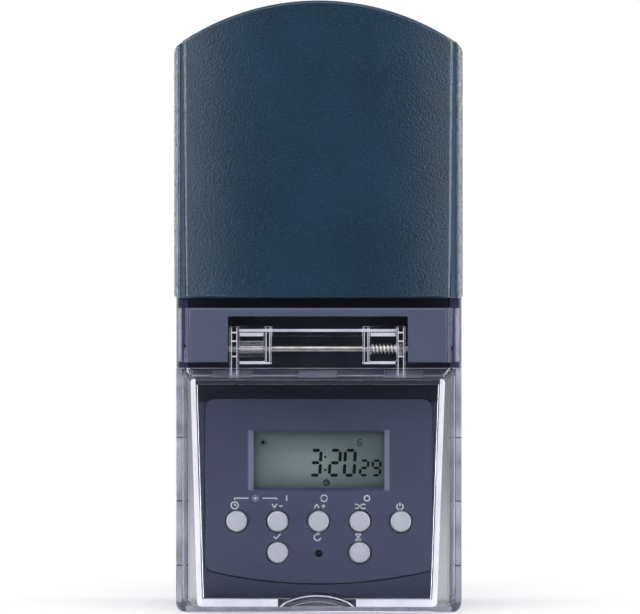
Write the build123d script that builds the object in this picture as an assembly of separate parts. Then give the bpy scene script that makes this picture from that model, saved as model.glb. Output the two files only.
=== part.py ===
from build123d import *
import math
import os

os.makedirs("parts", exist_ok=True)

# A splashproof plug-in timer. Millimetres: X is across, +Y goes into the wall, Z is up.
# The origin is the centre of the plug's face, between its two pins.

# Front outline: straight sides under an arched top
HALF_W = 32.0
ARCH_TOP = 35.2
ARCH_R = 54.6
BOTTOM = -101.2
TOP_CORNER = 2.0
BOTTOM_CORNER = 2.5
WALL = 2.2

# Depths along Y, from the wall towards the front
BACK = -17.0
SEAM = -36.0
BASE = -53.5
SHOULDER = -59.5
BLOCK_FACE = -64.5
RIM_BACK = -53.9
RIM_FRONT = -56.0

# Two-pin plug and socket with side earth contacts
PIN_R = 2.4
PIN_PITCH = 19.0
PIN_LENGTH = 19.0
PIN_ROOT_R = 2.9
NOSE_R = 18.4
WELL_R = 19.75
WELL_DEPTH = 17.5
COLLAR_R = 21.9
COLLAR_FRONT = -57.0
SOCKET_FLOOR = 4.0
CONTACT_HOLE_R = 2.75
SHUTTER_TRAVEL = 6.0

# Hinged cover over the socket
COVER_HALF_W = 32.2
COVER_INSET = -0.2
COVER_BOTTOM = -30.8
COVER_BACK = -54.0
COVER_WALL = 1.9
COVER_RAISED_HALF = 30.7
COVER_DRAFT = math.tan(math.radians(17.0))
COVER_FACE_TOP = -61.9
COVER_FACE_BOTTOM = -64.2
SIDE_DRAFT = math.tan(math.radians(12.0))
SHOULDER_BEVEL = 1.1

# Cover hinge, hidden under the arch
COVER_AXIS_Y = -56.0
COVER_AXIS_Z = 31.0
COVER_BARREL_R = 2.3
COVER_PIN_R = 1.0
RUNNING_GAP = 0.05
LUG_IN, LUG_OUT = 6.0, 9.0
KNUCKLE_IN, KNUCKLE_OUT = 9.3, 15.0
SCOOP_R = 6.5
SCOOP_HALF = 24.0

# Raised hinge block of the housing and its recess for the lid's hinge
BLOCK_TOP, BLOCK_BOTTOM = -33.0, -45.1
BLOCK_HALF = 31.6
BLOCK_RAISED_HALF = 28.7
RECESS_HALF = 20.0
RECESS_TOP = -34.9
PIT_PLACES = [(-29.7, -41.5), (29.6, -42.0)]
PIT_R = 0.4
PIT_DEPTH = 0.6

# Clear lid
LID_AXIS_Y = -62.0
LID_AXIS_Z = -42.1
LID_PIN_R = 0.65
LID_HALF_W = 31.9
LID_TOP, LID_BOTTOM = -46.4, -101.0
LID_RAISED_HALF = 30.5
LID_FLOOR = -99.6
LID_WALL = 1.6
LID_FACE_TOP = -65.5
LID_FACE_BOTTOM = -73.5
LID_SIDE_DRAFT = math.tan(math.radians(14.0))
LID_TOP_DRAFT = math.tan(math.radians(13.0))
LID_FLOOR_DRAFT = math.tan(math.radians(3.3))
BARREL_R = 1.9
GRIP_R = 15.5
GRIP_TOP = -97.6

# Control panel
FASCIA_HALF = 25.5
FASCIA_TOP, FASCIA_SIDE_END, FASCIA_LOW = -53.5, -91.8, -94.9
FASCIA_FRONT = -53.7
FASCIA_BACK = -51.7
LEDGE = 1.5
DISPLAY_Z = -67.25
WINDOW_W, WINDOW_H = 29.4, 12.4
BEZEL_W, BEZEL_H = 32.0, 13.8
BEZEL_DEPTH = 1.0
BUTTON_R = 2.3
BUTTON_HOLE_R = 2.65
BUTTON_PITCH = 9.2
ROW_1, ROW_2 = -80.9, -87.9
BUTTON_FRONT = -54.5
RESET_HOLE_R = 0.8
BUTTONS = {
    "clock_button": (-2, ROW_1),
    "minus_button": (-1, ROW_1),
    "plus_button": (0, ROW_1),
    "random_button": (1, ROW_1),
    "power_button": (2, ROW_1),
    "set_button": (-1, ROW_2),
    "countdown_button": (1, ROW_2),
}

# Coil springs
LID_SPRING = {"wire": 0.4, "mean_r": 0.95, "pitch": 0.82, "turns": 7.75}
COVER_SPRING = {"wire": 0.6, "mean_r": 1.6, "pitch": 1.05, "turns": 4.75}
WIRE_SIDES = 6

# Housing screws, driven in from the back
SCREW_PLACES = [(-26.0, 21.0), (26.0, 21.0), (-26.0, -95.2), (26.0, -95.2)]
SCREW_HEAD_R = 2.8
SCREW_R = 1.5
SCREW_SINK = 6.0
POST_W = 7.6

# Circuit boards
BOARD_T = 1.6
CONTROL_BOARD_Y = -46.4
POWER_BOARD_Y = -30.0


def front_plane(y):
    """Front view plane at depth y: its own axes are X and Z, and it faces the viewer."""
    return Plane.XZ.offset(-y)


def prism(sketch, y_back, y_front):
    """Front view sketch, pulled from y_back out to y_front."""
    return extrude(front_plane(y_back) * sketch, amount=y_back - y_front, dir=(0, -1, 0))


def rod(x, z, radius, y_back, y_front):
    """Round bar along Y."""
    return prism(Pos(x, z) * Circle(radius), y_back, y_front)


def block(x_low, x_high, y_back, y_front, z_low, z_high):
    """Rectangular bar between the given limits."""
    middle = ((x_low + x_high) / 2, (y_back + y_front) / 2, (z_low + z_high) / 2)
    return Pos(*middle) * Box(x_high - x_low, y_back - y_front, z_high - z_low)


def side_prism(points, x_low, x_high):
    """Side view outline of (y, z) points, pulled across from x_low to x_high."""
    plane = Plane(origin=(x_low, 0, 0), x_dir=(0, 1, 0), z_dir=(1, 0, 0))
    return extrude(plane * Polygon(*points, align=None), amount=x_high - x_low, dir=(1, 0, 0))


def plan_prism(points, z_low, z_high):
    """Plan view outline of (x, y) points, pulled up from z_low to z_high."""
    sketch = Pos(0, 0, z_low) * Polygon(*points, align=None)
    return extrude(sketch, amount=z_high - z_low, dir=(0, 0, 1))


def bar_x(y, z, radius, x_low, x_high):
    """Round bar along X."""
    plane = Plane(origin=(x_low, y, z), x_dir=(0, 1, 0), z_dir=(1, 0, 0))
    return extrude(plane * Circle(radius), amount=x_high - x_low)


def bent_strip(points, thickness, x_low, x_high):
    """Sheet metal strip that follows a side view line of (y, z) points."""
    plane = Plane(origin=(x_low, 0, 0), x_dir=(0, 1, 0), z_dir=(1, 0, 0))
    return extrude(plane * trace(Polyline(*points), thickness), amount=x_high - x_low, dir=(1, 0, 0))


def mirrored(points):
    """Right half of a plan outline, closed by its mirror image."""
    return points + [(-x, y) for x, y in reversed(points)]


def meet(p, slope_y, q, slope_z):
    """Where z = p.z + slope_z * (y - p.y) meets y = q.y + slope_y * (z - q.z)."""
    y = (q[0] + slope_y * (p[1] - slope_z * p[0] - q[1])) / (1 - slope_y * slope_z)
    return y, p[1] + slope_z * (y - p[0])


def outline(inset=0.0, bottom=BOTTOM, bottom_corner=BOTTOM_CORNER):
    """Front outline with the arched top, shrunk all round by inset."""
    half = HALF_W - inset
    crown = ARCH_TOP - inset
    shoulder = ARCH_TOP - ARCH_R + math.sqrt((ARCH_R - inset) ** 2 - half**2)
    sides = Polyline((-half, shoulder), (-half, bottom), (half, bottom), (half, shoulder))
    arch = ThreePointArc((half, shoulder), (0, crown), (-half, shoulder))
    face = make_face(sides.edges() + arch.edges())
    corners = face.vertices().group_by(Axis.Y)
    face = fillet(corners[-1], max(TOP_CORNER - inset, 0.6))
    return fillet(face.vertices().group_by(Axis.Y)[0], bottom_corner)


def screw_posts(y_back, y_front):
    """Square posts in the housing's corners that take the screws."""
    posts = None
    for x, z in SCREW_PLACES:
        post = prism(Pos(x, z) * Rectangle(POST_W, POST_W), y_back, y_front)
        posts = post if posts is None else posts + post
    return posts & prism(outline(0.6, BOTTOM + 0.6), y_back, y_front)


def rear_housing():
    """Back shell: shallow tray with a round opening for the plug insert and four screw posts."""
    body = prism(outline(), BACK, SEAM)
    back_edges = body.faces().sort_by(Axis.Y)[-1].edges()
    body = fillet(back_edges, 2.4)
    body -= prism(outline(WALL, BOTTOM + WALL, 1.0), BACK - WALL, SEAM)
    body += screw_posts(BACK - 1.0, SEAM)
    for x, z in SCREW_PLACES:
        body -= rod(x, z, SCREW_HEAD_R + 0.3, BACK, BACK - SCREW_SINK)
        body -= rod(x, z, SCREW_R + 0.2, BACK, SEAM)
    return body - rod(0, 0, NOSE_R + 0.1, BACK, BACK - WALL)


def seal_ring():
    """Front view of the seal's path, just inside the housing's outer edge."""
    return outline(0.7, BOTTOM + 0.7) - outline(1.5, BOTTOM + 1.5, 1.4)


def housing_seal():
    """Thin rubber cord in the front shell's groove, where the two shells meet."""
    return prism(seal_ring(), SEAM, SEAM - 0.6)


def housing_screws():
    """Four identical pan head screws."""
    seat = BACK - SCREW_SINK
    screws = []
    for x, z in SCREW_PLACES:
        head = rod(x, z, SCREW_HEAD_R, seat + 2.0, seat)
        screws.append(head + prism(Pos(x, z) * RegularPolygon(SCREW_R, 8), seat, SEAM - 8.0))
    return screws


def hinge_block():
    """Raised cross block of the front shell, with shoulders and drafted side walls."""
    run = (SHOULDER - BLOCK_FACE) * SIDE_DRAFT
    right = [
        (BLOCK_HALF, BASE + 1.0),
        (BLOCK_HALF, SHOULDER + SHOULDER_BEVEL),
        (BLOCK_HALF - SHOULDER_BEVEL, SHOULDER),
        (BLOCK_RAISED_HALF + run, SHOULDER),
        (BLOCK_RAISED_HALF, BLOCK_FACE),
    ]
    body = plan_prism(mirrored(right), BLOCK_BOTTOM, BLOCK_TOP)
    front = body.faces().sort_by(Axis.Y)[0]
    body = chamfer(front.edges(), 0.3)
    for x, z in PIT_PLACES:
        body -= rod(x, z, PIT_R, SHOULDER + PIT_DEPTH, SHOULDER - 1)
    return body - block(-RECESS_HALF, RECESS_HALF, BASE, BLOCK_FACE - 1, BLOCK_BOTTOM - 1, RECESS_TOP)


def cover_lugs():
    """Two fixed hinge lugs that stand in the scoop under the arch."""
    lugs = None
    for side in (-1, 1):
        low, high = sorted((side * LUG_IN, side * LUG_OUT))
        lug = bar_x(COVER_AXIS_Y, COVER_AXIS_Z, COVER_BARREL_R, low, high)
        foot_y = COVER_AXIS_Y + SCOOP_R + 0.5
        lug += block(low, high, foot_y, COVER_AXIS_Y, COVER_AXIS_Z - COVER_BARREL_R, COVER_AXIS_Z + 0.8)
        lugs = lug if lugs is None else lugs + lug
    return lugs


def fascia_outline(inset=0.0):
    """Panel outline: straight top and sides, and a shallow arc along the bottom."""
    half = FASCIA_HALF - inset
    top = FASCIA_TOP - inset
    side_end = FASCIA_SIDE_END + inset
    sides = Polyline((-half, side_end), (-half, top), (half, top), (half, side_end))
    arc = ThreePointArc((half, side_end), (0, FASCIA_LOW + inset), (-half, side_end))
    face = make_face(sides.edges() + arc.edges())
    return fillet(face.vertices(), 2.2)


def front_housing():
    """Front shell: hollow base, hinge block, cover lugs, and openings for socket and panel."""
    inner_front = BASE + WALL
    body = prism(outline(), SEAM, BASE)
    body = chamfer(body.faces().sort_by(Axis.Y)[0].edges(), 0.4)
    cavity = prism(outline(WALL, BOTTOM + WALL, 1.0), SEAM, inner_front)
    pad = block(-SCOOP_HALF - WALL, SCOOP_HALF + WALL, COVER_AXIS_Y + SCOOP_R + WALL, BASE, 24.4, 40.0)
    body -= cavity - pad
    body += hinge_block()
    for side in (-1, 1):
        low, high = sorted((side * 22.0, side * 27.0))
        body -= block(low, high, inner_front + 1, BLOCK_FACE + WALL, BLOCK_BOTTOM + WALL, BLOCK_TOP - WALL)
    body += screw_posts(SEAM, inner_front - 1.0)
    for x, z in SCREW_PLACES:
        body -= rod(x, z, SCREW_R, SEAM, SEAM - 11.0)
    body -= prism(seal_ring(), SEAM, SEAM - 0.6)
    body -= bar_x(COVER_AXIS_Y, COVER_AXIS_Z, SCOOP_R, -SCOOP_HALF, SCOOP_HALF)
    body += cover_lugs()
    body -= bar_x(COVER_AXIS_Y, COVER_AXIS_Z, COVER_PIN_R, -LUG_OUT - 1, LUG_OUT + 1)
    body -= bar_x(LID_AXIS_Y, LID_AXIS_Z, LID_PIN_R, -RECESS_HALF - 1.5, RECESS_HALF + 1.5)
    body -= rod(0, 0, COLLAR_R + 0.1, SEAM, BASE - 1)
    body += prism(fascia_outline(-1.2), FASCIA_BACK + 1.2, FASCIA_BACK)
    body -= prism(fascia_outline(-0.15), FASCIA_BACK, BASE - 1)
    return body - prism(fascia_outline(LEDGE), SEAM, BASE - 1)


def plug_insert():
    """Round plug nose moulded around the pins' roots, with guide grooves and earth slots."""
    flange_front = BACK - WALL - 2.4
    body = rod(0, 0, NOSE_R, 0, BACK - WALL)
    body = chamfer(body.faces().sort_by(Axis.Y)[-1].edges(), 0.8)
    body += rod(0, 0, NOSE_R + 2.4, BACK - WALL, flange_front)
    for side in (-1, 1):
        body -= rod(side * PIN_PITCH / 2, 0, PIN_ROOT_R, 0, flange_front)
        low, high = sorted((side * (NOSE_R - 2.4), side * (NOSE_R + 1)))
        body -= block(low, high, 1, BACK + 1.5, -2.6, 2.6)
        body -= block(-3.0, 3.0, 1, flange_front, low, high)
    return body


def contact_pin(side):
    """Solid round plug pin with a domed tip and a thicker root held in the insert."""
    x = side * PIN_PITCH / 2
    straight = PIN_LENGTH - PIN_R
    pin = rod(x, 0, PIN_R, straight, 0) + Pos(x, straight, 0) * Sphere(PIN_R)
    return pin + rod(x, 0, PIN_ROOT_R, 0, BACK - WALL - 3.0)


def plug_gasket():
    """Rubber washer around the plug nose, against the wall socket's frame."""
    body = rod(0, 0, NOSE_R + 4.6, BACK + 2.0, BACK) - rod(0, 0, NOSE_R + 0.1, BACK + 2.0, BACK)
    outer = body.faces().sort_by(Axis.Y)[-1].edges().sort_by(SortBy.LENGTH)[-1]
    return chamfer(outer, 0.8)


def plug_earth_clip():
    """Earth strips in the plug nose's two slots, joined by a bridge inside the housing."""
    rim = NOSE_R - 0.9
    line = [(-1.2, rim), (-13.0, rim), (BACK - WALL - 3.6, rim), (BACK - WALL - 3.6, 0.0)]
    upper = bent_strip(line, 0.8, -2.4, 2.4)
    lower = bent_strip([(y, -z) for y, z in line], 0.8, -2.4, 2.4)
    return upper + lower


def socket_insert():
    """Round socket well with its collar, floor, contact holes, guide ribs and shutter rails."""
    floor_front = COLLAR_FRONT + WELL_DEPTH
    floor_back = floor_front + SOCKET_FLOOR
    body = rod(0, 0, COLLAR_R, floor_back, COLLAR_FRONT)
    body = chamfer(body.faces().sort_by(Axis.Y)[0].edges(), 0.5)
    body += rod(0, 0, COLLAR_R + 2.1, BASE + WALL + 2.0, BASE + WALL)
    body -= rod(0, 0, WELL_R, floor_front, COLLAR_FRONT - 1)
    for side in (-1, 1):
        low, high = sorted((side * (WELL_R - 2.3), side * (WELL_R + 0.5)))
        body += block(low, high, floor_front, COLLAR_FRONT + 2.0, -2.0, 2.0)
        body -= rod(side * PIN_PITCH / 2, 0, CONTACT_HOLE_R, floor_back, floor_front - 1)
        low, high = sorted((side * (WELL_R - 1.4), side * (COLLAR_R + 4)))
        body -= block(-3.2, 3.2, floor_back + 1, COLLAR_FRONT + 3.0, low, high)
        low, high = sorted((side * 5.3, side * 6.8))
        body += block(-17.0, 17.0, floor_back + 3.3, floor_back, low, high)
        low, high = sorted((side * 4.5, side * 6.8))
        body += block(-17.0, 17.0, floor_back + 3.3, floor_back + 2.6, low, high)
    return body


def socket_earth_clip():
    """Sprung earth blades at the top and bottom of the well, joined behind the floor."""
    bridge_y = COLLAR_FRONT + WELL_DEPTH + SOCKET_FLOOR + 4.2
    blade = [(-53.4, 20.0), (-49.0, 17.9), (-41.0, 19.4), (bridge_y, 20.3), (bridge_y, 0.0)]
    upper = bent_strip(blade, 0.7, -2.2, 2.2)
    lower = bent_strip([(y, -z) for y, z in blade], 0.7, -2.2, 2.2)
    link = block(-1.6, 1.6, BACK - WALL - 4.0, bridge_y, -0.5, 0.5)
    return upper + lower + link


def shutter():
    """Child safety shutter: a sliding plate whose two openings stand beside the contact holes."""
    floor_back = COLLAR_FRONT + WELL_DEPTH + SOCKET_FLOOR
    middle = -SHUTTER_TRAVEL / 2
    body = block(middle - 17.5, middle + 17.5, floor_back + 2.3, floor_back + 0.3, -5.0, 5.0)
    for side in (-1, 1):
        body -= rod(side * PIN_PITCH / 2 - SHUTTER_TRAVEL, 0, 2.9, floor_back + 3, floor_back)
    return body


def socket_contact(side):
    """Sprung brass contact that grips an inserted pin: a folded sleeve with slits and a tail."""
    x = side * PIN_PITCH / 2
    sleeve = block(x - 3.2, x + 3.2, -26.2, -31.8, -3.2, 3.2)
    tail = [(-27.4, -2.9), (-27.4, -44.0), (-28.0, -44.0)]
    body = sleeve + bent_strip(tail, 0.7, x - 2.0, x + 2.0)
    body -= block(x - 2.5, x + 2.5, -26.2, -32, -2.5, 2.5)
    return body - block(x - 4, x + 4, -28.5, -32, -0.4, 0.4)


def cover_face(z):
    """Depth of the cover's sloping front at height z."""
    slope = (COVER_FACE_BOTTOM - COVER_FACE_TOP) / (COVER_BOTTOM - ARCH_TOP)
    return COVER_FACE_TOP + slope * (z - ARCH_TOP)


def cover_form(inset):
    """Cover's solid form, or its hollow where inset is the wall: shoulders and a raised face."""
    half = COVER_HALF_W - inset
    bottom = COVER_BOTTOM + inset
    raised = COVER_RAISED_HALF - inset
    deep = 10.0
    shape = prism(outline(COVER_INSET + inset, bottom, 0.8), COVER_BACK, SHOULDER - deep)
    right = [
        (half, COVER_BACK),
        (half, SHOULDER + inset + SHOULDER_BEVEL),
        (half - SHOULDER_BEVEL, SHOULDER + inset),
        (raised, SHOULDER + inset),
        (raised - deep * COVER_DRAFT, SHOULDER + inset - deep),
    ]
    shape &= plan_prism(mirrored(right), bottom, ARCH_TOP + 1)
    face = [
        (COVER_BACK, bottom),
        (cover_face(bottom) + inset, bottom),
        (cover_face(ARCH_TOP + 1) + inset, ARCH_TOP + 1),
        (COVER_BACK, ARCH_TOP + 1),
    ]
    return shape & side_prism(face, -COVER_HALF_W, COVER_HALF_W)


def socket_cover():
    """Hinged cover: hollow, with hinge knuckles under the arch and a ring that holds the gasket."""
    body = cover_form(0)
    front = body.faces().sort_by(Axis.Y)[0]
    body = chamfer(front.edges(), 0.5)
    hollow = cover_form(COVER_WALL)
    body -= hollow
    body -= block(-16.0, 16.0, COVER_BACK + 1, -58.2, 26.0, ARCH_TOP + 1)
    ring = rod(0, 0, 24.0, -59.0, -66.0) - rod(0, 0, 20.6, -59.0, -66.0)
    body += ring & hollow
    for side in (-1, 1):
        low, high = sorted((side * KNUCKLE_IN, side * KNUCKLE_OUT))
        knuckle = bar_x(COVER_AXIS_Y, COVER_AXIS_Z, COVER_BARREL_R, low, high)
        knuckle += block(low, high, COVER_AXIS_Y, -61.0, COVER_AXIS_Z - 1.6, COVER_AXIS_Z + 1.6)
        body += knuckle
    return body - bar_x(COVER_AXIS_Y, COVER_AXIS_Z, COVER_PIN_R + RUNNING_GAP, -KNUCKLE_OUT - 1, KNUCKLE_OUT + 1)


def cover_gasket():
    """Flat rubber ring inside the cover that closes on the collar of the socket."""
    return rod(0, 0, 23.6, -57.4, -59.0) - rod(0, 0, 20.8, -57.4, -59.0)


def hinge_pin(y, z, radius, half_length):
    """Steel hinge pin along X."""
    return bar_x(y, z, radius, -half_length, half_length)


def lid_face(z):
    """Depth of the lid's sloping front at height z."""
    slope = (LID_FACE_BOTTOM - LID_FACE_TOP) / (LID_FLOOR - LID_TOP)
    return LID_FACE_TOP + slope * (z - LID_TOP)


def lid_form(inset, root):
    """Lid's raised box, or its hollow where inset is the wall. Its drafted walls start root behind the rim's front."""
    half = LID_RAISED_HALF - inset
    deep = 22.0
    start = RIM_FRONT + root
    right = [(half + root * LID_SIDE_DRAFT, start), (half - deep * LID_SIDE_DRAFT, RIM_FRONT - deep)]
    shape = plan_prism(mirrored(right), LID_BOTTOM, LID_TOP)
    top_start = (RIM_FRONT, LID_TOP - inset)
    floor_start = (RIM_FRONT, LID_FLOOR + inset)
    face_slope = (LID_FACE_BOTTOM - LID_FACE_TOP) / (LID_FLOOR - LID_TOP)
    face_point = (lid_face(LID_TOP) + inset, LID_TOP)
    side = [
        (start, top_start[1]),
        top_start,
        meet(top_start, face_slope, face_point, LID_TOP_DRAFT),
        meet(floor_start, face_slope, face_point, -LID_FLOOR_DRAFT),
        (start, floor_start[1] - root * LID_FLOOR_DRAFT),
    ]
    shape &= side_prism(side, -HALF_W, HALF_W)
    grip_y = -62.0 + inset
    return shape - rod(0, GRIP_TOP - GRIP_R, GRIP_R + inset, grip_y, -80.0)


def lid_hinge_frame():
    """Hinge frame on the lid's top: cross bar, four cheeks, two foot bars and one barrel."""
    y_back, y_front = LID_AXIS_Y + BARREL_R, LID_AXIS_Y - BARREL_R
    body = block(-19.6, 19.4, LID_AXIS_Y + 1.0, LID_AXIS_Y - 1.0, -39.3, -37.1)
    body += block(-19.6, -17.6, y_back, y_front, LID_TOP - 2.2, -37.1)
    body += block(17.4, 19.4, y_back, y_front, LID_TOP - 2.2, -37.1)
    body += block(-11.9, -10.3, y_back, y_front, -45.5, -37.1)
    body += block(9.9, 11.5, y_back, y_front, -45.5, -37.1)
    body += block(-17.6, -10.3, y_back, y_front, -45.5, -44.8)
    body += block(9.9, 17.4, y_back, y_front, -45.5, -44.8)
    body += bar_x(LID_AXIS_Y, LID_AXIS_Z, BARREL_R, -17.6, -11.9)
    body -= bar_x(LID_AXIS_Y, LID_AXIS_Z, LID_PIN_R + RUNNING_GAP, -20.0, 20.0)
    return body - bar_x(LID_AXIS_Y, LID_AXIS_Z, 1.5, 17.0, 18.7)


def clear_lid():
    """Clear hinged lid over the control panel: rim, raised box with a thumb grip, hinge frame."""
    middle = (LID_TOP + LID_BOTTOM) / 2
    rim = Pos(0, middle) * Rectangle(2 * LID_HALF_W, LID_TOP - LID_BOTTOM)
    rim = fillet(rim.vertices().group_by(Axis.Y)[0], 2.0)
    box = lid_form(0, 1.0)
    lines = box.edges().filter_by(GeomType.LINE)
    corners = [edge for edge in lines if abs(edge.center().X) > 28.0 and edge.center().Y < RIM_FRONT - 1]
    box = fillet(corners, 1.2)
    front = [face for face in box.faces().filter_by(GeomType.PLANE) if face.normal_at().Y < -0.9][0]
    box = fillet(front.edges(), 0.8)
    body = prism(rim, RIM_BACK, RIM_FRONT) + box
    return body - lid_form(LID_WALL, RIM_BACK - RIM_FRONT + 0.1) + lid_hinge_frame()


def control_fascia():
    """Inset panel with the display's chamfered bezel, button holes and reset hole."""
    body = prism(fascia_outline(), FASCIA_BACK, FASCIA_FRONT)
    outer = front_plane(FASCIA_FRONT) * Pos(0, DISPLAY_Z) * Rectangle(BEZEL_W, BEZEL_H)
    inner = front_plane(FASCIA_FRONT + BEZEL_DEPTH) * Pos(0, DISPLAY_Z) * Rectangle(WINDOW_W, WINDOW_H)
    body -= loft([outer, inner], ruled=True)
    body -= prism(Pos(0, DISPLAY_Z) * Rectangle(WINDOW_W, WINDOW_H), FASCIA_BACK, FASCIA_FRONT)
    for column, z in BUTTONS.values():
        body -= rod(column * BUTTON_PITCH, z, BUTTON_HOLE_R, FASCIA_BACK, FASCIA_FRONT)
    return body - rod(0, ROW_2 - 0.2, RESET_HOLE_R, FASCIA_BACK, FASCIA_FRONT)


def button(column, z):
    """Round push button with a soft edge and a flange that keeps it behind the panel."""
    x = column * BUTTON_PITCH
    cap = rod(x, z, BUTTON_R, FASCIA_BACK + 0.2, BUTTON_FRONT)
    cap = chamfer(cap.faces().sort_by(Axis.Y)[0].edges(), 0.3)
    flange = Pos(x, z) * Rectangle(2 * BUTTON_HOLE_R + 0.8, 2 * BUTTON_HOLE_R + 0.8)
    return cap + prism(flange, FASCIA_BACK + 0.8, FASCIA_BACK + 0.1)


def reset_plunger():
    """Thin reset pin, set below the panel's face and worked with a pen tip."""
    pin = rod(0, ROW_2 - 0.2, 0.5, FASCIA_BACK + 0.2, FASCIA_FRONT + 0.7)
    flange = Pos(0, ROW_2 - 0.2) * Rectangle(2.8, 2.8)
    return pin + prism(flange, FASCIA_BACK + 0.8, FASCIA_BACK + 0.1)


def display_stack():
    """Window pane, display panel and rubber connector strip, front to back."""
    window = prism(Pos(0, DISPLAY_Z) * Rectangle(32.0, 14.6), FASCIA_BACK + 0.8, FASCIA_BACK)
    panel = prism(Pos(0, DISPLAY_Z) * Rectangle(34.0, 17.0), FASCIA_BACK + 2.8, FASCIA_BACK + 0.8)
    board_front = CONTROL_BOARD_Y - BOARD_T
    strip = prism(Pos(0, DISPLAY_Z + 7.4) * Rectangle(30.0, 1.8), board_front, FASCIA_BACK + 2.8)
    return window, panel, strip


def keypad_membrane():
    """Rubber sheet behind the buttons, with a low dome under each."""
    sheet_front = CONTROL_BOARD_Y - BOARD_T - 0.8
    sheet = prism(Pos(0, -84.2) * Rectangle(46.0, 13.6), CONTROL_BOARD_Y - BOARD_T, sheet_front)
    for column, z in BUTTONS.values():
        pad = Pos(column * BUTTON_PITCH, z) * RegularPolygon(1.8, 8)
        sheet += prism(pad, sheet_front, sheet_front - 0.9)
    return sheet


def control_board():
    """Upper circuit board, behind the display and keypad."""
    return prism(Pos(0, -75.0) * Rectangle(46.0, 33.0), CONTROL_BOARD_Y, CONTROL_BOARD_Y - BOARD_T)


def backup_battery():
    """Small rechargeable cell stack that keeps the clock running."""
    return rod(13.0, -70.0, 5.75, CONTROL_BOARD_Y + 6.0, CONTROL_BOARD_Y)


def power_board():
    """Lower circuit board, which carries the mains parts."""
    board = prism(Pos(0, -64.0) * Rectangle(48.0, 52.0), POWER_BOARD_Y + BOARD_T, POWER_BOARD_Y)
    for side in (-1, 1):
        board -= rod(side * 21.0, -85.0, 1.6, POWER_BOARD_Y + BOARD_T, POWER_BOARD_Y)
    return board


def board_screws():
    """Two identical screws that hold the power board."""
    screws = []
    for side in (-1, 1):
        head = rod(side * 21.0, -85.0, 2.6, POWER_BOARD_Y, POWER_BOARD_Y - 1.8)
        shank = Pos(side * 21.0, -85.0) * RegularPolygon(1.5, 8)
        screws.append(head + prism(shank, POWER_BOARD_Y + 6.0, POWER_BOARD_Y))
    return screws


def relay():
    """Sealed switching relay with its coil and contact legs."""
    body = block(-21.0, -5.0, POWER_BOARD_Y, POWER_BOARD_Y - 12.0, -66.0, -46.0)
    return chamfer(body.edges().filter_by(Axis.Y), 0.8)


def capacitor():
    """Mains dropping capacitor, a rounded box on the power board."""
    body = block(4.0, 21.0, POWER_BOARD_Y, POWER_BOARD_Y - 9.0, -58.0, -50.0)
    return chamfer(body.edges().filter_by(Axis.Y), 1.0)


def smoothing_capacitor():
    """Round electrolytic capacitor, standing on the power board."""
    return rod(10.0, -76.0, 4.0, POWER_BOARD_Y, POWER_BOARD_Y - 9.0)


def fuse():
    """Glass tube fuse across the power board, held by its two square end caps."""
    y, z = POWER_BOARD_Y - 2.8, -72.0
    body = bar_x(y, z, 2.3, -20.0, -4.0)
    for low in (-20.0, -8.0):
        body += block(low, low + 4.0, y + 2.7, y - 2.7, z - 2.7, z + 2.7)
    return body


def board_link():
    """Row of pins between the two circuit boards."""
    body = block(-9.0, 9.0, POWER_BOARD_Y, POWER_BOARD_Y - 3.0, -89.5, -87.0)
    for step in range(6):
        x = -7.5 + 3.0 * step
        body += block(x - 0.35, x + 0.35, POWER_BOARD_Y - 3.0, CONTROL_BOARD_Y, -88.6, -87.9)
    return body


def power_bar(side):
    """Bent brass bar from a plug pin's root down to the power board."""
    x = side * PIN_PITCH / 2
    line = [(-22.6, 2.4), (-22.6, -50.0), (-28.0, -50.0)]
    return bent_strip(line, 0.8, x - 2.0, x + 2.0)


def biarc(p1, t1, p2, t2):
    """Two tangent arcs from p1 to p2 that start along t1 and end along t2."""
    v = p2 - p1
    t = t1 + t2
    spread = 2 * (1 - t1.dot(t2))
    reach = (-v.dot(t) + math.sqrt(v.dot(t) ** 2 + spread * v.dot(v))) / spread
    middle = (p1 + p2 + (t1 - t2) * reach) * 0.5
    heading = (p2 - t2 * reach - p1 - t1 * reach).normalized()
    return [Edge.make_tangent_arc(p1, t1, middle), Edge.make_tangent_arc(middle, heading, p2)]


def coil_spring(spring, y, z, x_start, lead_out, lead_in):
    """Torsion spring around a pin along X: a helix of quarter turn biarcs with two straight legs."""
    radius, pitch = spring["mean_r"], spring["pitch"]
    steps = int(round(spring["turns"] * 4))
    climb = pitch / (2 * math.pi)

    def point(step):
        angle = step * math.pi / 2
        return Vector(x_start + climb * angle, radius * math.cos(angle), radius * math.sin(angle))

    def tangent(step):
        angle = step * math.pi / 2
        return Vector(climb, -radius * math.sin(angle), radius * math.cos(angle)).normalized()

    first = Edge.make_line(point(0) - tangent(0) * lead_in, point(0))
    edges = [first]
    for step in range(steps):
        edges += biarc(point(step), tangent(step), point(step + 1), tangent(step + 1))
    edges.append(Edge.make_line(point(steps), point(steps) + tangent(steps) * lead_out))
    path = Wire(edges)
    start = Plane(origin=path @ 0, z_dir=path % 0)
    body = sweep(start * RegularPolygon(spring["wire"] / 2, WIRE_SIDES), path=path)
    return Pos(0, y, z) * body, path


def coil_gap(path, spring):
    """Least gap between neighbouring turns, from points along the wire's centre line."""
    count = 900
    points = [path @ (i / count) for i in range(count + 1)]
    apart = int(count * 0.6 * 2 * math.pi * spring["mean_r"] / path.length)
    least = min(
        (points[i] - points[j]).length
        for i in range(0, count, 3)
        for j in range(i + apart, count, 3)
    )
    return least - spring["wire"]


def save(name, shape):
    """Writes one node; a list of solids becomes one group."""
    if isinstance(shape, list):
        shape = Compound(children=[s.solid() for s in shape])
    export_step(shape, f"parts/{name}.step")


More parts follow.
